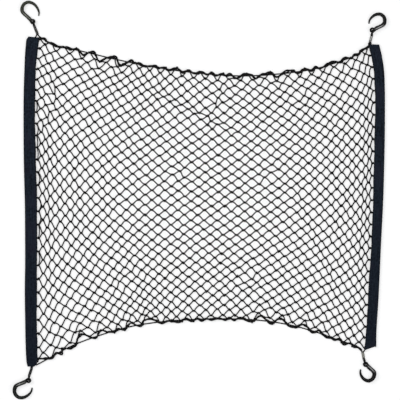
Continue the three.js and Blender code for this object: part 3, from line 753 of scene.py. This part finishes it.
def placed_copies(shape, places, turns, sizes):
    corners, groups = shape
    cos, sin = np.cos(turns)[:, None], np.sin(turns)[:, None]
    x, y, z = np.moveaxis(corners[None] * sizes[:, None, None], -1, 0)
    made = np.stack([x * cos - y * sin, x * sin + y * cos, z], axis=-1) + places[:, None]
    step = (np.arange(len(places)) * len(corners))[:, None, None]
    copies = [((f[None] + step).reshape(-1, f.shape[1]), np.tile(uv, (len(places), 1, 1)))
              for f, uv in groups]
    return made.reshape(-1, 3), copies


spots = knots[is_knot]
places = with_height(spots, height_for(spots, np.full(len(spots), KNOT_HEIGHT)))
turns = random.normal(0, KNOT_LEAN, len(spots))
sizes = random.uniform(*KNOT_SIZES, len(spots))
mesh_knots = new_piece("net_knots", in_metres(placed_copies(knot_shape(), places, turns, sizes)))
report(mesh_knots)

# %% [markdown]
# ## The doubled twine along the elastics
# Two twines run together here. They swing about the elastic by the values above, stray a little from each
# other, and climb over the elastic wherever they cross it, because below it is the floor.
# %% Edge twine
EDGE_TWINE = 2.0
EDGE_POINTS = 420
EDGE_SIDES = 7
STRAY_WAVES = (23, 41, 67)  # waves along the whole edge, each smaller than the one before
SMOOTHED = 4  # points to each side that a height is evened out over
EDGE_STRANDS = [
    # share of the swing, how far outside it, how far it strays, lowest height
    (1.0, 0.2, 0.8, EDGE_TWINE), (0.76, -1.5, 1.2, EDGE_TWINE + 0.9),
]


def edge_strand(edge, share, aside, reach, base):
    x = np.linspace(edge.swings[0, 0], edge.swings[-1, 0], EDGE_POINTS)
    along = np.linspace(0, 1, EDGE_POINTS)
    strayed = sum(reach / (1 + k) * np.sin(2 * np.pi * (along * n + random.uniform()))
                  for k, n in enumerate(STRAY_WAVES))
    off = edge.swing_at(x) * share + aside + strayed
    over = CORD_HEIGHT + np.sqrt(np.clip((CORD_RADIUS + EDGE_TWINE) ** 2 - off**2, 0, None))
    padded = np.pad(np.maximum(base, over), SMOOTHED, mode="edge")
    soft = np.convolve(padded, np.ones(2 * SMOOTHED + 1) / (2 * SMOOTHED + 1), mode="valid")
    return with_height(edge.beside(x, off), np.maximum(base, soft))


gathers = []
for name, edge in edges.items():
    pair = np.stack([edge_strand(edge, *values) for values in EDGE_STRANDS])
    piece = new_piece(f"edge_twine_{name}", bars(pair * MM, EDGE_TWINE * MM, EDGE_SIDES))
    report(piece)
    gathers.append(piece)

# %% [markdown]
# ## The mesh at the bands
# The outermost knots lie just outside the mouth of the folded tape. From each one a short twine runs on
# into the slot. Where the mesh was drawn up too far along the band, a second, slack one bulges from knot
# to knot.
# %% Side twine
INTO_SLOT = 12
STUB_RADIUS = 1.38  # flattened a little by the tape
STUB_POINTS = 4
SLACK_RADIUS = 0.8 * TWINE_RADIUS
SLACK_POINTS = 7
SLACK_SHARE = 0.6  # of the knots where the mesh is slack
SLACK_BULGE = (1.5, 6)
SLACK_FROM_TO = {"left": (-150, 235), "right": (10, 120)}  # how far up the net it is slack


def side_twine(side, column, inward):
    spots = knots[column, 2:2 * MESH_ROWS - 1:2]
    stubs = spots[:, None] - np.array([inward * INTO_SLOT, 0]) * np.linspace(0, 1, STUB_POINTS)[:, None]
    share = np.linspace(0, 1, SLACK_POINTS)[:, None]
    slack = spots[:-1, None] * (1 - share) + spots[1:, None] * share
    bulge = random.uniform(*SLACK_BULGE, (len(slack), 1, 1)) * np.sin(np.pi * share)
    slack = slack + np.array([inward, 0]) * bulge
    low, high = SLACK_FROM_TO[side]
    middle = slack[:, SLACK_POINTS // 2, 1]
    slack = slack[(random.uniform(size=len(slack)) < SLACK_SHARE) & (middle > low) & (middle < high)]
    kinds = ((stubs, MESH_LIFT, STUB_RADIUS), (slack, KNOT_HEIGHT, SLACK_RADIUS))
    return [bars(with_height(plan, np.full(plan.shape[:2], height)), radius, STRAND_SIDES)
            for plan, height, radius in kinds]


side_shapes = [*side_twine("left", 0, 1), *side_twine("right", 2 * MESH_COLUMNS, -1)]
gathers.append(new_piece("net_side_twine", in_metres(joined(*side_shapes))))

# %% [markdown]
# The pieces of the mesh take the place of the panel of the imported model, which is hidden.
net_pieces = [strands, mesh_knots, *gathers]
for piece in net_pieces:
    belongs(piece)
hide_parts("net_panel")

# %% [markdown]
# ## Ferrules
# A ferrule is a short metal sleeve, pressed flat round two runs of elastic. It is made as by hand: an
# open cylinder is pressed oval, cut across, pinched where the tool gripped it, and given its wall.
# %% Ferrules
SLEEVE_WALL = 0.5
SLEEVE_SIDES = 24
SLEEVE_CUTS = 26  # so that the wall has rings enough for the dents
CRIMP_AT = (-3.4, 0.0, 3.4)  # middles of the three dents along the sleeve
CRIMP_REACH = 0.95
CRIMP_DEPTH = 0.2  # share of the height that a dent takes away
CRIMP_SPREAD = 0.05  # share by which the sleeve is wider there
LIP_LENGTH = 0.8
LIP_FLARE = (0.03, 0.05)  # how much wider and higher the lip gets for each millimetre
LIP_ROUNDING = 0.16


def deselect_all():
    bpy.ops.object.select_all(action="DESELECT")


def make_ferrule(name, corner):
    deselect_all()
    bpy.ops.mesh.primitive_cylinder_add(vertices=SLEEVE_SIDES, radius=1, depth=FERRULE_LENGTH,
                                        end_fill_type="NOTHING")
    sleeve = bpy.context.object
    sleeve.name = f"crimped_ferrule_{name}"
    bpy.ops.object.mode_set(mode="EDIT")
    bpy.ops.mesh.select_all(action="SELECT")
    bpy.ops.transform.resize(value=(FERRULE_WIDTH / 2, FERRULE_HEIGHT / 2, 1))
    for i in range(1, SLEEVE_CUTS):
        bpy.ops.mesh.select_all(action="SELECT")
        bpy.ops.mesh.bisect(plane_co=(0, 0, (i / SLEEVE_CUTS - 0.5) * FERRULE_LENGTH), plane_no=(0, 0, 1))
    bpy.ops.object.mode_set(mode="OBJECT")
    for point in sleeve.data.vertices:
        x, y, z = point.co
        dent = max(math.exp(-(((z - at) / CRIMP_REACH) ** 2)) for at in CRIMP_AT)
        lip = max(0.0, abs(z) - FERRULE_LENGTH / 2 + LIP_LENGTH)
        point.co.x = x * (1 + CRIMP_SPREAD * dent + LIP_FLARE[0] * lip)
        point.co.y = y * (1 - CRIMP_DEPTH * dent + LIP_FLARE[1] * lip)
    wall = sleeve.modifiers.new("Wall", "SOLIDIFY")
    wall.thickness, wall.offset = SLEEVE_WALL, -1
    lips = sleeve.modifiers.new("Lips", "BEVEL")
    lips.width, lips.segments = LIP_ROUNDING, 2
    lips.limit_method, lips.angle_limit = "ANGLE", math.radians(50)
    for modifier in ("Wall", "Lips"):
        bpy.ops.object.modifier_apply(modifier=modifier)
    bpy.ops.object.shade_smooth_by_angle(angle=math.radians(40))
    along = Vector((*corner.toward_net, 0)).normalized()
    across = Vector((0, 0, 1)).cross(along)
    turned = Matrix((across, (0, 0, 1), along)).transposed()
    matrix = Matrix([[value * MM for value in row] for row in turned]).to_4x4()
    matrix.translation = Vector((*corner.ferrule, FERRULE_HEIGHT / 2)) * MM
    sleeve.data.transform(matrix)
    belongs(sleeve, f"ferrule_{name}")
    return sleeve


ferrules = {name: make_ferrule(name, corner) for name, corner in CORNERS.items()}
report(ferrules["top_left"])

# %% [markdown]
# ## Wire hooks
# Each hook is one length of coated wire: curled round into an eye, thick along the shank and tapered
# round the bow to a blunt tip. By hand it is a path with a round bevel, whose points carry the wire's
# thickness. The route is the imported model's own, with more points, the coating's thickness on the wire,
# and each bow as it was bent.
# %% Hooks
EYE_OPENS_AT = 48  # degrees
EYE_JOINS_AT = 300
EYE_STEPS = 36
EYE_WIRE_SEEN = 2.35  # thicker than the elastic's turn allows for, because the taut elastic bites on it
HOOK_CLEARANCE = 0.06
SETTLED_ROW = 2  # the row of the route from which the wire lies on the floor
SHANK_ROWS = 4  # the rows over which the hook's own bend sets in
HOOK_ROUTE = [
    # x, y, radius of the wire
    (5.4, -1.9, 3.4), (9.5, -0.2, 4.7), (15.0, 0.0, 4.6), (22.0, 0.0, 4.5), (29.8, 0.2, 4.6),
    (36.0, 1.8, 4.7), (42.4, 9.0, 4.4), (44.2, 18.7, 4.2), (39.1, 28.6, 4.0), (26.9, 33.4, 3.6),
    (13.4, 32.0, 3.0), (2.6, 26.6, 2.2), (-1.9, 20.9, 1.7),
]
TIP_ROUNDING = ((0.45, 0.93), (0.8, 0.7), (1.0, 0.3))  # past the tip, in radii, and the radius left there


def hook_wire(bow, stout):
    """Points of the wire with its radius, as x, y, height and radius, with the eye at the origin."""
    turn = np.radians(np.linspace(EYE_OPENS_AT, EYE_JOINS_AT, EYE_STEPS + 1))
    eye = np.column_stack([EYE_RADIUS * np.cos(turn), EYE_RADIUS * np.sin(turn),
                           np.full(len(turn), EYE_HEIGHT), np.full(len(turn), EYE_WIRE_SEEN)])
    row = np.arange(len(HOOK_ROUTE))
    own = np.minimum(row / SHANK_ROWS, 1)
    wide, deep, set_off = bow
    x, y, radius = np.array(HOOK_ROUTE).T
    x, y, radius = x * (1 + (wide - 1) * own) + set_off * own, y * (1 + (deep - 1) * own), radius * stout
    settled = np.where(row < SETTLED_ROW, (x - eye[-1, 0]) / (x[SETTLED_ROW] - eye[-1, 0]), 1)
    height = EYE_HEIGHT + (radius + HOOK_CLEARANCE - EYE_HEIGHT) * settled
    shank = smooth_curve(np.vstack([eye[-1], np.column_stack([x, y, height, radius])]), steps=8)[1:]
    wire = np.vstack([eye, shank])

    def tip(end, before):
        away = unit(end[:3] - before[:3])
        return [np.r_[end[:3] + away * step * end[3], end[3] * left] for step, left in TIP_ROUNDING]

    return np.vstack([tip(wire[0], wire[1])[::-1], wire, tip(wire[-1], wire[-2])])


def make_hook(name, corner):
    deselect_all()
    bpy.ops.curve.primitive_nurbs_path_add()
    hook = bpy.context.object
    hook.name = f"wire_hook_{name}"
    wire = hook_wire(corner.bow, corner.stout)
    turn = math.radians(corner.angle)
    x, y = wire[:, 0].copy(), wire[:, 1] * corner.hand
    wire[:, 0] = corner.eye[0] + x * math.cos(turn) - y * math.sin(turn)
    wire[:, 1] = corner.eye[1] + x * math.sin(turn) + y * math.cos(turn)
    hook.data.splines.clear()
    spline = hook.data.splines.new("POLY")
    spline.points.add(len(wire) - 1)
    for point, (x, y, z, radius) in zip(spline.points, wire * MM):
        point.co, point.radius = (x, y, z, 1), radius
    hook.data.bevel_depth = 1
    hook.data.bevel_resolution = 6
    hook.data.use_fill_caps = True
    hook.data.twist_mode = "Z_UP"
    bpy.ops.object.convert(target="MESH")
    bpy.ops.object.shade_smooth()
    belongs(hook, f"hook_{name}")
    return hook


hooks = {name: make_hook(name, corner) for name, corner in CORNERS.items()}
report(hooks["top_left"])

# %% [markdown]
# ## Shared effects for the finishes
# Three effects are node groups, built once and called up by the finishes with their own sizes: a twist of
# strands, a braid of crossing carriers, and a soft speckle for dye, dust and wear. The first two read the
# bars' own UV map, so the pattern follows each bar, and the speckle reads object coordinates, so it stays
# still on the piece.
# %% Node helpers


class Nodes:
    """Short ways to add nodes to one tree."""

    def __init__(self, tree):
        self.tree = tree

    def give(self, socket, value):
        """Set a socket from a number, a colour or another node's socket."""
        if isinstance(value, bpy.types.NodeSocket):
            self.tree.links.new(value, socket)
        else:
            socket.default_value = value

    def add(self, kind, inputs=None, **settings):
        made = self.tree.nodes.new("ShaderNode" + kind)
        for name, value in settings.items():
            setattr(made, name, value)
        for name, value in (inputs or {}).items():
            self.give(made.inputs[name], value)
        return made

    def maths(self, operation, first, second=0.0):
        return self.add("Math", {0: first, 1: second}, operation=operation).outputs[0]

    def along_and_around(self):
        parts = self.add("SeparateXYZ", {0: self.add("UVMap", uv_map="Along").outputs[0]})
        return parts.outputs["X"], parts.outputs["Y"]

    def object_place(self):
        return self.add("TexCoord").outputs["Object"]

    def wave(self, phase):
        """From 0 in a groove to 1 on a ridge, one ridge for each whole step of the phase."""
        return self.maths("ABSOLUTE", self.maths("SINE", self.maths("MULTIPLY", phase, math.pi)))

    def ranged(self, value, to_low, to_high, low=0.0, high=1.0, **settings):
        """A value between low and high carried to another range."""
        return self.add("MapRange", {"Value": value, "From Min": low, "From Max": high, "To Min": to_low,
                                     "To Max": to_high}, **settings).outputs[0]

    def use(self, group, **values):
        return self.add("Group", values, node_tree=group).outputs[0]

    def mixed(self, share, first, second):
        """A colour between two, by a share that changes over the surface."""
        mix = self.add("Mix", data_type="RGBA")
        self.give(mix.inputs["Factor"], share)
        for title, colour in (("A", first), ("B", second)):
            socket = next(s for s in mix.inputs if s.name == title and s.type == "RGBA")
            self.give(socket, (*colour, 1) if isinstance(colour, tuple) else colour)
        return next(s for s in mix.outputs if s.type == "RGBA")


def new_group(name, **inputs):
    """A node group's tree, the sockets of its inputs and the socket of its result."""
    tree = bpy.data.node_groups.new(name, "ShaderNodeTree")
    for title, value in inputs.items():
        socket = tree.interface.new_socket(title, in_out="INPUT", socket_type="NodeSocketFloat")
        socket.default_value = value
    tree.interface.new_socket("Value", in_out="OUTPUT", socket_type="NodeSocketFloat")
    given = tree.nodes.new("NodeGroupInput").outputs
    return Nodes(tree), given, tree.nodes.new("NodeGroupOutput").inputs["Value"]


# %% Shared groups
group, given, result = new_group("twisted_strands", Pitch=0.004, Strands=3.0)
twist = group.tree
along, around = group.along_and_around()
phase = group.maths("ADD", group.maths("DIVIDE", along, given["Pitch"]),
                    group.maths("MULTIPLY", around, given["Strands"]))
group.give(result, group.wave(phase))

group, given, result = new_group("braided_cover", Pitch=0.002, Carriers=6.0)
braid = group.tree
along, around = group.along_and_around()
forward = group.maths("DIVIDE", along, given["Pitch"])
sideways = group.maths("MULTIPLY", around, given["Carriers"])
one_way, other_way = (group.wave(group.maths(way, forward, sideways)) for way in ("ADD", "SUBTRACT"))
group.give(result, group.maths("MAXIMUM", group.maths("MULTIPLY", one_way, 0.9), other_way))

group, given, result = new_group("speckle", Scale=60.0, Low=0.35, High=0.65)
speckle = group.tree
noise = group.add("TexNoise", {"Vector": group.object_place(), "Scale": given["Scale"], "Detail": 4.0})
group.give(result, group.ranged(noise.outputs[0], 0.0, 1.0, given["Low"], given["High"],
                                interpolation_type="SMOOTHSTEP"))
print("shared groups:", [g.name for g in bpy.data.node_groups])


# %% Finish helpers


class Finish(Nodes):
    """A material whose even values are set straight on the shader."""

    def __init__(self, name, **sockets):
        self.material = bpy.data.materials.new(name)
        self.material.use_nodes = True
        super().__init__(self.material.node_tree)
        self.shader = next(n for n in self.tree.nodes if n.type == "BSDF_PRINCIPLED")
        self.shade(**sockets)

    def shade(self, **sockets):
        for title, value in sockets.items():
            self.give(self.shader.inputs[title.replace("_", " ")], value)

    def bump(self, height, distance, strength=1.0):
        bump = self.add("Bump", {"Height": height, "Distance": distance, "Strength": strength})
        self.shade(Normal=bump.outputs[0])

    def dress(self, pieces):
        for piece in pieces:
            piece.data.materials.clear()
            piece.data.materials.append(self.material)


# %% [markdown]
# ## Twine and elastic
# The twine is black with a hint of brown where the dye has worn, matt, and laid up of three strands. The
# elastic has a finer braided cover over rubber, and a little dust in it. The grooves of both are painted
# nearly black as painted shade, which keeps a thin line dark from any side, and the ridges stand out
# through the bump.
# %% Twine
TWINE_BLACK = (0.0030, 0.0030, 0.0034)
TWINE_WORN = (0.0105, 0.0088, 0.0074)
TWINE_GROOVE_SHADE = (0.002, 0.002, 0.0025)
finish = Finish("black_twine", Specular_IOR_Level=0.1)
worn = finish.use(speckle, Scale=22.0, Low=0.45, High=0.75)
lay = finish.use(twist, Pitch=0.0045, Strands=3.0)
colour = finish.mixed(worn, TWINE_BLACK, TWINE_WORN)
# The grooves of the lay are painted nearly black: painted shade.
finish.shade(Base_Color=finish.mixed(finish.ranged(lay, 0.55, 0.0), colour, TWINE_GROOVE_SHADE),
             Roughness=finish.ranged(worn, 0.62, 0.8))
finish.bump(lay, 0.00035)
finish.dress(net_pieces)

# %% Elastic
COVER_BLACK = (0.0022, 0.0022, 0.0026)
COVER_DUSTY = (0.0075, 0.0072, 0.0074)
COVER_GROOVE_SHADE = (0.002, 0.002, 0.002)
finish = Finish("braided_elastic", Specular_IOR_Level=0.08)
cover = finish.use(braid, Pitch=0.0024, Carriers=5.0)
dusty = finish.use(speckle, Scale=45.0, Low=0.4, High=0.8)
colour = finish.mixed(dusty, COVER_BLACK, COVER_DUSTY)
# The grooves of the braid are painted nearly black: painted shade.
finish.shade(Base_Color=finish.mixed(finish.ranged(cover, 0.6, 0.0), colour, COVER_GROOVE_SHADE),
             Roughness=finish.ranged(cover, 0.75, 0.5))
finish.bump(cover, 0.0003)
finish.dress(elastics)

# %% [markdown]
# ## Webbing
# The tape is navy, dyed a little unevenly, and darker along the fold and the open edge. Its picks cross the
# lengthwise ribs about once a millimetre, with painted shade in the grooves between them, and the tape is
# darker toward its lower ends. The colours are laid one over the other, each by its own share. The thread
# is a lighter navy, with painted shade in the grooves of its twist.
# %% Webbing finish
NAVY = (0.0050, 0.0125, 0.0250)
NAVY_DARK = (0.0003, 0.0012, 0.0040)
NAVY_PURPLE = (0.0110, 0.0095, 0.0230)
NAVY_LIGHT = (0.0120, 0.0210, 0.0350)
NAVY_LOWER_END = (0.0006, 0.0036, 0.0105)
EDGE_BLACK_AND_GROOVE_SHADE = (0.0012, 0.0016, 0.0024)
THREAD_GROOVE_SHADE = (0.004, 0.007, 0.012)
THREAD_LIGHT = (0.012, 0.020, 0.034)
PICK_PITCH = 0.0011
STREAK_DRAWN = 0.05  # how much of a streak's detail is left along the tape, against across it
BAND_WIDTH = tape_width / 2  # in metres, near enough for both
finish = Finish("navy_webbing", Specular_IOR_Level=0.14)
along, across = finish.along_and_around()
picks, ribs = finish.maths("DIVIDE", along, PICK_PITCH), finish.maths("MULTIPLY", across, 2 * RIBS)
weave = finish.maths("MULTIPLY", finish.wave(picks), finish.wave(ribs))
stretched = finish.add("CombineXYZ", {"X": finish.maths("MULTIPLY", along, STREAK_DRAWN),
                                      "Y": finish.maths("MULTIPLY", across, BAND_WIDTH)}).outputs[0]
streaks = finish.add("TexNoise", {"Vector": stretched, "Scale": 480.0, "Detail": 3.0}).outputs[0]
mottle = finish.use(speckle, Scale=210.0, Low=0.40, High=0.62)
patches = finish.use(speckle, Scale=24.0, Low=0.45, High=0.60)
from_middle = finish.maths("SUBTRACT", finish.maths("ABSOLUTE", across), 0.5)
from_middle = finish.maths("ABSOLUTE", from_middle)
up_net = finish.add("SeparateXYZ", {0: finish.object_place()}).outputs["Y"]
dye = finish.mixed(mottle, NAVY_DARK, NAVY)
for share, colour in (
    (finish.maths("MULTIPLY", patches, 0.7), NAVY_PURPLE),
    (finish.ranged(streaks, 0.0, 0.8, low=0.42, high=0.62), NAVY_LIGHT),
    (finish.ranged(from_middle, 0.0, 0.85, low=0.38, high=0.47), EDGE_BLACK_AND_GROOVE_SHADE),
    # Darker toward the lower end of the tape.
    (finish.ranged(up_net, 0.6, 0.15, low=-0.36, high=0.10), NAVY_LOWER_END),
    # The grooves of the weave are painted darker: painted shade.
    (finish.ranged(weave, 0.4, 0.0), EDGE_BLACK_AND_GROOVE_SHADE),
):
    dye = finish.mixed(share, dye, colour)
finish.shade(Base_Color=dye, Roughness=finish.ranged(mottle, 0.88, 0.7))
finish.bump(weave, 0.00022)
finish.dress(bands.values())

finish = Finish("navy_thread", Roughness=0.6, Specular_IOR_Level=0.2)
lay = finish.use(twist, Pitch=0.0012, Strands=2.0)
# The grooves of the twist are painted darker: painted shade.
finish.shade(Base_Color=finish.mixed(lay, THREAD_GROOVE_SHADE, THREAD_LIGHT))
finish.bump(lay, 0.0001)
finish.dress([stitches])

# %% [markdown]
# ## Hooks and ferrules
# The hooks have a dark coating over steel, and no two have quite the same tone. The colour turns nearly
# black toward the eye. A painted highlight, one thin light line along the middle of the shank, stands in
# for the shine there, where a clear coat is also laid. Two ferrules are a plain light alloy with grey
# grime, and the other two are blackened.
# %% Metal finishes
HOOK_TONES = {
    # the coating, the painted highlight along the shank, and how many millimetres that line lies off the
    # shank's middle
    "top_left": ((0.022, 0.024, 0.018), (0.150, 0.152, 0.130), 0.0),
    "top_right": ((0.003, 0.003, 0.003), (0.300, 0.300, 0.300), -1.0),
    "bottom_left": ((0.004, 0.005, 0.004), (0.180, 0.180, 0.170), 0.3),
    "bottom_right": ((0.0010, 0.0010, 0.0010), (0.300, 0.300, 0.300), 1.1),
}
# Nearly black toward the eye.
EYE_DARK = (0.0012, 0.0012, 0.0012)
SHANK_MIDDLE = 21.0  # from the eye
FERRULE_TONES = {
    # clean metal and grime
    "top_left": ((0.040, 0.039, 0.036), (0.008, 0.008, 0.008)),
    "top_right": ((0.24, 0.24, 0.23), (0.09, 0.09, 0.09)),
    "bottom_left": ((0.016, 0.017, 0.017), (0.006, 0.006, 0.007)),
    "bottom_right": ((0.22, 0.22, 0.20), (0.09, 0.09, 0.08)),
}


def dress_hook(name):
    tone, painted_highlight, highlight_offset = HOOK_TONES[name]
    lighter = tuple(1.7 * c + 0.003 for c in tone)
    corner = CORNERS[name]
    turn, eye = math.radians(corner.angle), Vector((*corner.eye, 0)) * MM
    shank = eye + Vector((math.cos(turn), math.sin(turn), 0)) * SHANK_MIDDLE * corner.bow[0] * MM
    aside = Vector((-math.sin(turn), math.cos(turn), 0))
    finish = Finish(f"coated_wire_{name}", Specular_IOR_Level=0.09, Coat_Roughness=0.10)
    place = finish.object_place()

    def measured(operation, other):
        return finish.add("VectorMath", {0: place, 1: other}, operation=operation).outputs["Value"]

    shank_zone = finish.ranged(measured("DISTANCE", shank), 1.0, 0.0, low=0.010, high=0.017)
    # The colour turns nearly black toward the eye.
    near_eye = finish.ranged(measured("DISTANCE", eye), 1.0, 0.0, low=0.008, high=0.013)
    # A thin line along the middle of the shank is painted light: a painted highlight.
    off_line = finish.maths("SUBTRACT", measured("DOT_PRODUCT", aside), eye.dot(aside) + highlight_offset * MM)
    highlight_line = finish.ranged(finish.maths("ABSOLUTE", off_line), 1.0, 0.0, low=0.0004, high=0.0013)
    rubbed = finish.use(speckle, Scale=160.0, Low=0.4, High=0.75)
    wire_colour = finish.mixed(rubbed, tone, lighter)
    wire_colour = finish.mixed(finish.maths("MULTIPLY", highlight_line, shank_zone), wire_colour, painted_highlight)
    finish.shade(Base_Color=finish.mixed(near_eye, wire_colour, EYE_DARK),
                 Roughness=finish.ranged(rubbed, 0.5, 0.36),
                 Coat_Weight=finish.maths("MULTIPLY", shank_zone, 0.3))
    finish.bump(finish.use(speckle, Scale=900.0, Low=0.3, High=0.7), 0.00004, 0.6)
    finish.dress([hooks[name]])


def dress_ferrule(name):
    finish = Finish(f"crimped_alloy_{name}", Metallic=0.6, Specular_IOR_Level=0.3)
    grime = finish.use(speckle, Scale=300.0, Low=0.35, High=0.75)
    finish.shade(Base_Color=finish.mixed(grime, *FERRULE_TONES[name]),
                 Roughness=finish.ranged(grime, 0.38, 0.6))
    finish.bump(finish.use(speckle, Scale=1500.0, Low=0.35, High=0.65), 0.00004, 0.5)
    finish.dress([ferrules[name]])


for name in CORNERS:
    dress_hook(name)
for name in CORNERS:
    dress_ferrule(name)
print("finishes:", [m.name for m in bpy.data.materials])

# %% [markdown]
# ## Floor and light
# The floor is plain and pale. One big soft light hangs high over the net, so that its shadow falls
# straight below each twine, and two weaker ones from the sides and a pale sky fill the rest.
# %% Floor
FLOOR_SIDE = 12.0
FLOOR_GAP = 0.0002  # a hair below the net, so that no two faces lie in one plane
deselect_all()
bpy.ops.mesh.primitive_plane_add(size=FLOOR_SIDE, location=(0, 0, -FLOOR_GAP))
floor = bpy.context.object
floor.name = "studio_floor"
Finish("pale_floor", Roughness=0.9, Base_Color=(0.9, 0.9, 0.9, 1)).dress([floor])

# %% Lights
LIGHTS = [
    # name, place, size, watts
    ("overhead_light", (0.0, 0.0, 9.5), 3.2, 640),
    ("left_light", (-4.0, 2.0, 4.0), 2.5, 80),
    ("right_light", (4.0, -2.5, 4.0), 2.5, 55),
]
SKY_COLOUR = (0.97, 0.98, 1.0, 1)
SKY_STRENGTH = 0.22
for name, place, size, watts in LIGHTS:
    bpy.ops.object.light_add(type="AREA", location=place)
    lamp = bpy.context.object
    lamp.name, lamp.data.size, lamp.data.energy = name, size, watts
    lamp.rotation_euler = Vector(place).to_track_quat("Z", "Y").to_euler()

world = bpy.data.worlds.new("pale_sky")
world.use_nodes = True
sky = world.node_tree.nodes["Background"].inputs
sky["Color"].default_value = SKY_COLOUR
sky["Strength"].default_value = SKY_STRENGTH
bpy.context.scene.world = world
bpy.context.scene.view_settings.view_transform = "Standard"
